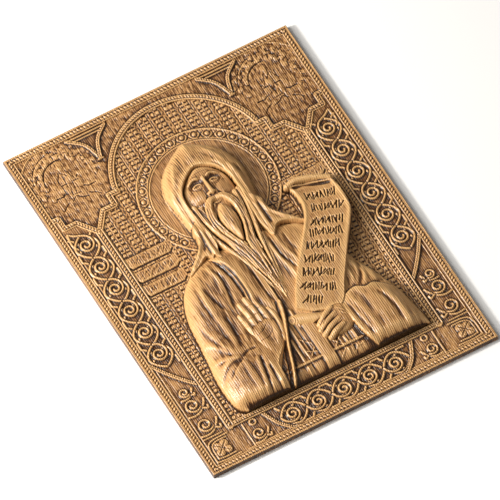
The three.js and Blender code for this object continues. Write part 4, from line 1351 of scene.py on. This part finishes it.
CAPE_FOLDS = (
    (1.5, 3, 2.4, [(-37, 192), (-38.5, 178), (-47, 165), (-61, 152)]),
    (-1.2, 2.4, 2, [(-35, 186), (-36, 174), (-41, 164)]),
    (1.6, 2.6, 2.2, [(-33, 190), (-33.5, 172), (-33, 154)]),
    (-1.5, 1.8, 1.8, [(-30, 186), (-30, 170), (-29.5, 154)]),
    (-1.2, 1.6, 1.4, [(-36, 172), (-36.5, 158)]),
    (1.4, 1.8, 1.8, [(-27, 184), (-27, 156)]),
    (1.5, 2.4, 3, [(30, 190), (32, 178), (40, 166), (55, 153)]),
    (-1.4, 2, 2.2, [(28, 188), (28.5, 176), (29, 160)]),
    (1.5, 2, 2, [(24.5, 190), (24.5, 170), (25.5, 152)]),
    (-0.8, 2, 3, [(33, 174), (38, 165), (44, 160)]),
)


def hood_piece(wood):
    """The hood with its rolled opening edge, and the cape's two pointed halves below it."""
    patch = Patch(-66.0, FIELD_BOTTOM + 147.5, 60.0, FIELD_BOTTOM + 281.0, HOOD_CELL, SUNK)
    x, y = patch.x, patch.y - FIELD_BOTTOM
    hood_depth = depth_inside(patch, HOOD, 40.0)
    cape_depth = np.maximum(depth_inside(patch, CAPE_LEFT, 30.0), depth_inside(patch, CAPE_RIGHT, 30.0))
    opening = depth_inside(patch, OPENING, 30.0)
    hood_here = ramp(hood_depth, 1.0)
    hood_upper = np.where(y < 168, 0.0, hood_here)
    cape_here = ramp(cape_depth, 1.1)
    cape = GROUND + 14.2 - 5 * (np.abs(x + 2) / 60) ** 2
    patch.z = blend(SUNK, GROUND + 3.5 + 11 * shoulder(hood_depth, 17), hood_upper)
    patch.z = np.maximum(patch.z, blend(DEEP, cape, cape_here))
    folds(patch, HOOD_FOLDS, 0.8, 1.1)
    folds(patch, CAPE_FOLDS, 0.7, 1.1)
    patch.z += 0.10 * wander(x, y * 0.3, 4.0, 111) + 0.2 * wander(x, y * 0.5, 12.0, 112)
    patch.z += 0.16 * wander(x, y * 0.12, 2.6, 113)
    patch.z += 0.5 * swell(opening + 1.6, 1.5) * np.clip((y - 160) / 20, 0, 1) * hood_here
    patch.z = np.where(np.maximum(hood_upper, cape_here) < 1e-3, DEEP, patch.z)
    patch.z = blend(DEEP, patch.z, ramp(-opening, 1.2))
    patch.keep(((hood_depth > -1.6) & (y > 166)) | (cape_depth > -1.8))
    patch.z = np.where((hood_depth < -0.9) & (cape_depth < -1.0), SUNK, patch.z)
    patch.drop((opening > 2.0) & (y > 192))
    piece("hood", patch, SEAT, wood, 2.6)


# Face: a calm old person's, on plain thirds, its features given from the middle line to the right

FACE_X = -3.5
# Rise, place, radii, tilt and roundness
FACE_MOUNDS = (
    (-1.9, 9.0, 230.0, 8.4, 5.4, -6, 0.9),
    (1.5, 8.8, 228.2, 5.6, 3.4, 0, 0.7),
    (1.4, 13.5, 217.5, 8, 7.5, 0, 1),
    (-0.9, 14, 206, 6, 8, 0, 1),
    (1.4, 3.5, 215.8, 2.4, 2.5, 0, 1),
    (0.8, 20, 224, 4, 9, 0, 1),
)
BROW = [(3.2, 234.2), (9.0, 236.2), (16.5, 233.0)]
# Rise, widths above and below, how far the ends fade, points
EYE_LINES = (
    (0.75, 2.2, 0.8, (0.12, 0.12), [(4.4, 228.2), (8.6, 229.9), (13.4, 227.7)]),
    (0.45, 0.9, 0.9, (0.15, 0.15), [(4.4, 227.6), (8.8, 226.1), (13.2, 227.2)]),
    (-0.4, 0.9, 0.9, (0.2, 0.2), [(4.2, 230.4), (8.8, 232.4), (14.4, 229.6)]),
    (-0.5, 0.6, 0.6, (0.15, 0.15), [(4.8, 228.2), (8.7, 229.0), (13.0, 227.5)]),
    (-0.35, 0.9, 0.9, (0.2, 0.25), [(4.8, 224.8), (9.0, 223.2), (13.6, 224.8)]),
    (-0.8, 1.6, 1.6, (0.2, 0.25), [(4.8, 215.6), (8.8, 210.5), (10.8, 204.0)]),
)
MOUTH_AND_FOREHEAD = (
    (-0.9, 0.8, 0.8, [(-8.3, 207.2), (-3.5, 207.9), (1.3, 207.2)]),
    (0.9, 1.2, 1.2, [(-7.4, 205.3), (-3.5, 204.6), (0.4, 205.3)]),
    (0.5, 0.9, 0.9, [(-7.4, 208.9), (-3.5, 209.4), (0.4, 208.9)]),
    (-0.28, 0.9, 0.9, [(-13.5, 240.5), (-3.5, 241.3), (6.5, 240.5)]),
    (-0.28, 0.9, 0.9, [(-13.5, 243.2), (-3.5, 244.0), (6.5, 243.2)]),
)


def feature(points, side):
    """The panel points of a facial feature on one side."""
    return figure(set_out(points, (FACE_X, 0.0), side))


def eye_and_brow(patch, side):
    """A brow scored with short hairs, and an eye with its lids, creases and a faint iris."""
    fold(patch, feature(BROW, side), 1.5, 2.2, 2.8, ends=(0.25, 0.3))
    for step in range(7):
        x = 4.2 + 1.8 * step
        y = 234.6 + 1.2 * math.sin(math.pi * step / 7)
        groove(patch, feature([(x - 0.8, y - 1.0), (x + 0.9, y + 1.1)], side), 0.6, 0.35)
    for rise, above, below, ends, points in EYE_LINES:
        left, right = (above, below) if side > 0 else (below, above)
        fold(patch, feature(points, side), rise, left, right, ends=ends)
    place = feature([(8.8, 227.8)], side)[0]
    iris = np.hypot(patch.x - place[0], patch.y - place[1])
    low_half = patch.y < place[1] + 1.0
    patch.z -= 0.22 * swell(iris - 1.5, 0.4) * low_half + 0.2 * swell(iris, 0.6)


def nose(patch):
    """The bridge, widening towards the tip, and the nostrils."""
    bridge = figure([(FACE_X, 235.0), (FACE_X, 228.5), (FACE_X, 221.5), (FACE_X, 216.6)])
    spot = Trace(patch, curve(bridge), 4.5)
    share = spot.along / spot.length
    across = np.clip(spot.gap / (2.1 + 1.7 * share**1.5), 0, 1)
    patch.z[spot.window] += (0.9 + 2.9 * share**1.1) * np.cos(across * math.pi / 2) ** 1.4
    for side in (-1, 1):
        groove(patch, feature([(1.7, 213.9), (3.2, 214.6)], side), 0.8, 0.9)
        groove(patch, feature([(5.2, 213.6), (5.7, 216.6)], side), 0.8, 0.5, ends=0.3)


def face_piece(wood):
    """The face inside the hood's opening, above the moustache."""
    patch = Patch(-34.0, FIELD_BOTTOM + 192.0, 26.0, FIELD_BOTTOM + 254.0, FACE_CELL)
    x, y = patch.x - FACE_X, patch.y - FIELD_BOTTOM
    skull = np.sqrt(np.clip(1 - (x / 29) ** 2 - ((y - 224) / 44) ** 2, 0, 1))
    patch.z = GROUND + 2.0 + 12.4 * skull + 0.9 * bump(x, y, 0, 244, 17, 11)
    for side in (-1, 1):
        for rise, off, up, radius_x, radius_y, tilt, power in FACE_MOUNDS:
            patch.z += rise * bump(x, y, side * off, up, radius_x, radius_y, side * tilt) ** power
    for side in (-1, 1):
        eye_and_brow(patch, side)
    nose(patch)
    folds(patch, MOUTH_AND_FOREHEAD)
    edge = depth_inside(patch, OPENING, 30.0)
    patch.keep(edge > -2.2)
    patch.z -= 5.0 * np.clip(1 - edge / 4.5, 0, 1) ** 2
    piece("face", patch, SEAT, wood, 1.6)


# Beard and moustache

BEARD = outline([
    (-29, 212), (-16, 209), (-3.5, 209), (9, 209), (21, 212), (22.5, 196), (20, 176), (16.5, 150),
    (10.5, 120), (6, 98), (2, 83), (-4, 92), (-11, 112), (-17, 136), (-22, 156), (-29, 184),
])
TUFT = outline([
    (-3.6, 203), (1.5, 198), (4.6, 189), (4.4, 179), (1.2, 168), (-3.8, 157), (-8.6, 168), (-11.6, 179),
    (-11.6, 189), (-8.6, 198),
])
# Half width of each lock and its line of x, y and height
LOCKS = (
    (2.7, [(-30, 208, 12.2), (-29, 190, 13), (-26, 172, 13.4),
          (-17, 146, 13.6), (-8, 116, 12.6), (-3, 94, 11)]),
    (2.6, [(-25.5, 211, 12.8), (-24, 194, 13.6), (-20, 174, 14.2),
          (-11, 150, 14.4), (-4, 120, 13.4), (0, 92, 11.6)]),
    (2.3, [(-21, 207, 13), (-19, 190, 14), (-13, 168, 14.8),
          (-6, 146, 14.6), (-1.5, 116, 13.6), (1.5, 88, 11.8)]),
    (2.1, [(-17, 198, 13.6), (-14.5, 182, 14.6), (-9, 164, 15.2),
          (-4.5, 148, 14.6), (0.5, 124, 13.2), (2, 100, 12)]),
    (2.7, [(20.5, 210, 12.6), (19.5, 192, 13.6), (15.5, 172, 14.2),
          (11, 148, 14), (7, 118, 12.8), (4, 92, 11)]),
    (2.6, [(15.5, 208, 13.4), (14, 192, 14.4), (10, 172, 15),
          (5, 150, 14.6), (4.5, 122, 13.4), (2.6, 90, 11.8)]),
    (2.2, [(11, 200, 13.6), (9, 184, 14.8), (4, 166, 15.2),
          (-0.5, 150, 14.6), (1.5, 124, 13.6), (1.5, 98, 12.2)]),
    (2, [(-16, 150, 12.6), (-12, 132, 12.8), (-7.5, 110, 12), (-4, 98, 10.8)]),
    (2, [(15, 156, 12.6), (12, 134, 12.6), (8.5, 112, 11.8), (6, 98, 10.8)]),
    (1.8, [(-6, 150, 14), (-2, 132, 13.6), (0, 108, 12.8), (0.5, 86, 11.6)]),
)


LOCK_TAPER = 0.5


def lock(patch, points, half, strands=3, depth=0.55):
    """Raises a lock of hair along x, y, height points, scored with strands that follow it."""
    spot = Trace(patch, curve(figure(points), 7), half + patch.cell)
    width = half * blend(1, LOCK_TAPER, spot.along / spot.length)
    across = np.clip(spot.gap / width, 0, 1)
    sway = 0.5 * np.sin(spot.along / 7.0 + half * 9)
    uneven = 0.65 + 0.35 * np.sin(spot.along / 5.3 + half * 31)
    score = depth * uneven * np.cos(2 * math.pi * (spot.side / width + 0.3 * sway) * strands / 2)
    lift = spot.level() - (1 - (1 - across * across) ** 0.5) * half * 1.1 + score * (1 - across**4)
    raise_to(patch, spot, np.where(across < 1, lift, -FAR))


def stray_locks(patch):
    """Thin curling hairs laid over the locks, drawing together towards the tip."""
    draw = np.random.default_rng(204)
    for k in range(13):
        share = draw.uniform(-1, 1)
        start = draw.uniform(150, 204)
        length = draw.uniform(30, 62)
        way = []
        for t in np.linspace(0, 1, 5):
            y = start - length * t
            half_beard = 23.5 * np.clip((y - 82) / 122, 0, 1) ** 0.9 + 1.2
            middle = FACE_X + 5.0 * np.clip((200 - y) / 115, 0, 1)
            x = middle + share * half_beard + 0.7 * math.sin(5 * t + k)
            way.append((x, y, 14.6 - 2.6 * np.clip((120 - y) / 34, 0, 1) - 1.6 * share**2))
        lock(patch, way, 1.35, 1, 0.15)


def beard_piece(wood):
    """A long beard of heavy scored locks round a drop-shaped tuft, under a drooping moustache."""
    patch = Patch(-34.0, FIELD_BOTTOM + 81.0, 27.0, FIELD_BOTTOM + 218.0, HAIR_CELL, DEEP)
    x, y = patch.x, patch.y - FIELD_BOTTOM
    depth = depth_inside(patch, BEARD, 30.0)
    base = GROUND + 7.4 + 1.6 * np.clip((y - 86) / 124, 0, 1)
    patch.z = blend(DEEP, base, ramp(depth, 1.2))
    patch.z += 0.3 * np.cos(x * 3.1 + 1.5 * np.sin(y / 9)) * (depth > 0)
    for half, points in LOCKS:
        lock(patch, points, half)
    stray_locks(patch)
    tuft(patch)
    moustache(patch)
    patch.z = np.minimum(patch.z, HAND_TOP)
    patch.keep(patch.z > 9.2)
    piece("beard", patch, 6.0, wood, 1.8)


def tuft(patch):
    """The smooth drop-shaped tuft under the lower lip, in a dark channel, lightly scored."""
    depth = depth_inside(patch, TUFT, 12.0)
    drop = GROUND + 11.0 + 6.0 * shoulder(depth, 7.5)
    scores = 0.22 * np.cos(patch.x * 2.3 + 0.8 * np.sin(patch.y / 5))
    drop += scores + 0.15 * wander(patch.x, patch.y * 0.2, 2.0, 211)
    patch.z = np.where(depth > 0, drop, patch.z)
    patch.z = np.where((depth <= 0) & (depth > -1.6), np.minimum(patch.z, GROUND + 9.5), patch.z)


def moustache(patch):
    """Two broad locks that part under the nose and droop round the tuft."""
    for side in (-1, 1):
        for row, half in ((2, 1.7), (1, 2.2), (0, 2.5)):
            out = row * 2.4
            way = [
                (1.6, 209.4 + row * 0.6, 15.2),
                (6.2 + out * 0.4, 208.0 + row * 1.0, 16.4 - row * 0.4),
                (10.6 + out * 0.8, 200.0 + row * 0.5, 16.4 - row * 0.6),
                (12.0 + out, 188.5 - row * 1.5, 15.8 - row * 0.6),
                (10.0 + out, 175.5 - row * 3, 14.8 - row * 0.5),
            ]
            lock(patch, [(FACE_X + side * x, y, z) for x, y, z in way], half, 2, 0.22)
    groove(patch, curve(figure([(-6.4, 204.6), (-3.5, 205.6), (-0.6, 204.6)]), 5), 1.5, 2.6, ends=0.2)


# Scroll

SCROLL = np.vstack([
    curve(figure([
        (61.5, 190), (63.5, 178), (63.5, 168), (60, 157), (52, 144), (37, 124), (20.5, 102), (9, 84),
        (1, 69),
    ])),
    curve(figure([
        (14, 58), (39, 52), (56, 76), (74, 102.5), (93, 129.5), (99.5, 140), (102, 152), (102.5, 168),
        (101, 179),
    ])),
])
# Start and end of each row of strokes, before the sheet's height shifts them, and that height
SCROLL_ROWS = (
    ((71.5, 23.5), (99.7, 14.8), 6.9),
    ((70.6, 9.4), (98.5, -0.6), 8.2),
    ((63.7, -3.1), (90.6, -13.8), 9.3),
    ((55.6, -12.5), (83.5, -24.4), 10.2),
    ((45.6, -22.5), (75.0, -36.3), 11.2),
    ((37.5, -34.0), (61.9, -46.9), 12.0),
    ((28.7, -45.3), (55.0, -60.6), 12.7),
    ((21.2, -58.1), (48.7, -75.0), 13.0),
    ((16.0, -71.9), (31.2, -80.6), 13.2),
)
STROKE_TALL = 8.6


def sheet_strokes(patch):
    """Rows of plain deep strokes across the sheet, each with shorter ones between."""
    for k, (start, end, height) in enumerate(SCROLL_ROWS):
        shift = np.array([-0.31 * height, -0.54 * height])
        count = 13 if k < 8 else 7
        row = (np.array(start) + shift, np.array(end) + shift)
        strokes_row(patch, *row, STROKE_TALL, count, 2.0, 310 + k, width=0.85)
        strokes_row(patch, *row, STROKE_TALL * 0.5, count // 2, 1.7, 330 + k, width=0.85)


def scroll_piece(wood):
    """The open sheet with its rows of plain strokes, its curled top and its rolled lower end."""
    patch = Patch(-14.0, FIELD_BOTTOM + 48.0, 105.5, FIELD_BOTTOM + 199.0, HOOD_CELL, SUNK)
    x, y = patch.x, patch.y - FIELD_BOTTOM
    depth = depth_inside(patch, SCROLL, 30.0)
    level = GROUND + 15.2 - 7.0 * np.clip((y - 70) / 110, 0, 1) ** 1.8
    level += 0.8 * swell(depth - 1.6, 1.6) * np.clip((y - 100) / 40, 0, 1)
    level -= 0.9 * bump(x, y, 84, 170, 16, 26)
    level += 0.7 * bump(x, y, 70, 118, 18, 26)
    patch.z = blend(GROUND - 0.5, level, ramp(depth, 0.9))
    patch.z += 0.05 * wander(x, y * 0.25, 3.0, 301)
    fold(patch, figure([(60, 187), (67, 186.5), (76, 185), (86, 181), (101, 175)]), -2.4, 1.4, 4.0)
    sheet_strokes(patch)
    curl = [(60.5, 190.5, 10.2), (68, 192, 11.4), (77, 190.5, 11.8), (88, 186.5, 11.6), (100, 180.5, 10.6)]
    limb(patch, figure(curl), 3.1, 0.3)
    roll = [(-7, 61, 13.5), (-1, 58.5, 15.0), (10, 53, 16.0), (22, 47, 16.2)]
    limb(patch, figure(roll), 6.3, 0.6)
    away = np.hypot((x + 8.6) / 0.7, y - 60.0)
    patch.z += 0.5 * np.cos(np.clip(away, 0, 6.2) * 2.1) * (away < 6.2) - 1.2 * swell(away, 1.6)
    patch.z = np.minimum(patch.z, SCROLL_TOP)
    patch.keep(patch.z > GROUND - 0.4)
    patch.drop(depth_inside(patch, PALM_RIGHT, 10.0) > 3.0)
    piece("scroll", patch, SEAT, wood, 2.2)


# Hands

PALM_LEFT = outline([
    (-49.5, 68), (-49, 54), (-47.5, 42), (-47.5, 30), (-44, 19), (-36, 30), (-26, 44), (-20, 58),
    (-20.5, 70), (-25, 76), (-36, 76), (-46, 73),
])
PALM_RIGHT = outline([
    (24, 56), (33, 58), (41, 55), (44, 46), (43, 34), (36, 27.5), (27, 25.5), (19, 28), (19, 44),
])
# Base, middle, tip and half width of each finger of the open hand, and the lines of its palm
OPEN_FINGERS = (
    ((-25.5, 66), (-26.5, 80), (-28.5, 94), 4.0),
    ((-32.5, 68), (-33.2, 85), (-35.3, 101.5), 4.1),
    ((-39.5, 67), (-40.3, 83), (-42.5, 98.5), 4.0),
    ((-46, 63), (-47, 75), (-48.5, 87.5), 3.6),
)
PALM_CREASES = (
    [(-47, 60), (-38, 63), (-29, 70)],
    [(-46, 54), (-36, 55), (-27, 62)],
    [(-27, 66), (-31, 56), (-33, 42)],
)
# Tip, middle and base of each finger of the closed hand, and the sinews on its back
BENT_FINGERS = (
    ((11, 43.5), (18, 48.5), (28, 53.5)),
    ((9.5, 37.8), (17, 42.3), (29, 47.0)),
    ((10, 31.6), (18, 35.6), (30, 40.0)),
    ((14, 26.8), (20, 29.8), (30, 33.2)),
)
SINEWS = ([(31, 52), (37, 46), (40, 38)], [(33, 46), (38, 40)])


def open_hand_piece(wood):
    """The raised hand, palm out: four fingers, the thumb along its edge, pads and creases."""
    patch = Patch(-54.0, FIELD_BOTTOM + 17.0, -14.0, FIELD_BOTTOM + 107.0, HAND_CELL, PALM_GROUND)
    x, y = patch.x, patch.y - FIELD_BOTTOM
    depth = depth_inside(patch, PALM_LEFT, 20.0)
    palm = GROUND + 10.5 + 4.2 * shoulder(depth, 8)
    palm += 0.9 * bump(x, y, -26, 56, 7, 15, -20) + 0.8 * bump(x, y, -42, 52, 6, 16)
    palm -= 1.0 * bump(x, y, -34, 58, 6, 12)
    patch.z = blend(PALM_GROUND, palm, ramp(depth, 1.0))
    for base, middle, tip, half in OPEN_FINGERS:
        way = [(*base, 13.8), (*middle, 15.2), (*tip, 14.2)]
        limb(patch, figure(way), half, 0.4, 0.6, taper=0.9)
        for share in (0.42, 0.74):
            px, py = blend(np.array(base), np.array(tip), share)
            groove(patch, figure([(px - 2.2, py + 0.3), (px + 2.2, py - 0.3)]), 0.8, 0.45)
    thumb = [(-24, 48, 14.0), (-20.5, 62, 15.4), (-19.5, 74, 15.0), (-21, 83, 13.8)]
    limb(patch, figure(thumb), 3.4, 0.4, 0.55, taper=0.85)
    for line in PALM_CREASES:
        fold(patch, figure(line), -0.3, 1.0, 1.0)
    patch.keep(patch.z > HAND_EDGE)
    piece("raised_hand", patch, HAND_SEAT, wood, 1.8)


def fist_piece(wood):
    """The closed hand round the scroll's rolled end."""
    patch = Patch(4.0, FIELD_BOTTOM + 21.0, 48.0, FIELD_BOTTOM + 62.0, HAND_CELL, PALM_GROUND)
    depth = depth_inside(patch, PALM_RIGHT, 20.0)
    back = GROUND + 10.0 + 6.3 * shoulder(depth, 11)
    patch.z = blend(PALM_GROUND, back, ramp(depth, 1.0))
    for tip, middle, base in BENT_FINGERS:
        limb(patch, figure([(*tip, 14.4), (*middle, 17.0), (*base, 16.9)]), 3.25, 0.6)
    for tip, middle, base in BENT_FINGERS[:3]:
        line = [(tip[0] + 2, tip[1] - 3.0), (middle[0] + 1, middle[1] - 3.2), (base[0] + 3, base[1] - 3.0)]
        fold(patch, figure(line), -0.9, 0.9, 0.9, ends=(0.1, 0.35))
    for line in SINEWS:
        fold(patch, figure(line), 0.5, 1.5, 1.5)
    patch.z = np.minimum(patch.z, HAND_TOP)
    patch.keep(patch.z > HAND_EDGE)
    piece("closed_hand", patch, HAND_SEAT, wood, 1.8)


# Light, camera and floor

def camera():
    """A long lens at the photograph's angle, aimed so that the panel fills the frame as it does there."""
    lens = 1600.0
    sensor = 36.0
    frame_width = 0.4587
    aim_height = 0.006
    aim_drop = 0.0015
    elevation = math.radians(58.0)
    level_forward = Vector((0.498, 0.867, 0.0)).normalized()
    forward = level_forward * math.cos(elevation) - Vector((0, 0, 1)) * math.sin(elevation)
    right = forward.cross(Vector((0, 0, 1))).normalized()
    up = right.cross(forward)
    aim = Vector((0, 0, aim_height)) - up * aim_drop
    distance = frame_width * lens / sensor
    data = bpy.data.cameras.new("camera")
    data.lens = lens
    data.sensor_width = sensor
    data.clip_end = 100
    made = bpy.data.objects.new("camera", data)
    made.location = aim - forward * distance
    made.rotation_euler = forward.to_track_quat("-Z", "Y").to_euler()
    bpy.context.scene.collection.objects.link(made)
    bpy.context.scene.camera = made


def area_light(name, direction, distance, size, power, colour):
    """A square light at a distance in one direction from the panel, aimed at it."""
    data = bpy.data.lights.new(name, "AREA")
    data.shape = "SQUARE"
    data.size = size
    data.energy = power
    data.color = colour
    made = bpy.data.objects.new(name, data)
    way = Vector(direction).normalized()
    made.location = way * distance
    made.rotation_euler = (-way).to_track_quat("-Z", "Y").to_euler()
    bpy.context.scene.collection.objects.link(made)


def studio():
    """A pale floor, a soft key light from the panel's upper left and a weak fill."""
    mesh = bpy.data.meshes.new("floor")
    reach = 14.0
    mesh.from_pydata([(-reach, -reach, 0), (reach, -reach, 0), (reach, reach, 0), (-reach, reach, 0)],
                     [], [(0, 1, 2, 3)])
    floor = bpy.data.objects.new("floor", mesh)
    bpy.context.scene.collection.objects.link(floor)
    material = bpy.data.materials.new("floor")
    material.use_nodes = True
    shader = material.node_tree.nodes["Principled BSDF"]
    shader.inputs["Base Color"].default_value = (0.93, 0.93, 0.93, 1)
    shader.inputs["Roughness"].default_value = 0.9
    mesh.materials.append(material)
    warm = (1.0, 0.97, 0.92)
    area_light("key", (-0.76, 0.24, 0.70), 1.9, 1.4, 42, warm)
    area_light("glint", (-0.86, 0.22, 0.50), 1.9, 0.22, 38, warm)
    area_light("fill", (0.45, -0.35, 0.8), 3.0, 2.4, 10, (1.0, 0.98, 0.95))
    world = bpy.data.worlds.new("studio")
    world.use_nodes = True
    world.node_tree.nodes["Background"].inputs["Color"].default_value = (1.0, 0.95, 0.88, 1)
    world.node_tree.nodes["Background"].inputs["Strength"].default_value = 0.15
    bpy.context.scene.world = world
    bpy.context.scene.view_settings.view_transform = "Standard"


camera()
studio()
wood = wood_material()
board_piece(wood)
band_piece(wood, -1, "band_left")
band_piece(wood, 1, "band_right")
foot_piece(wood)
top_piece(wood, -1, "corner_left")
top_piece(wood, 1, "corner_right")
field_piece(wood)
garments_piece(wood)
hood_piece(wood)
face_piece(wood)
beard_piece(wood)
scroll_piece(wood)
open_hand_piece(wood)
fist_piece(wood)
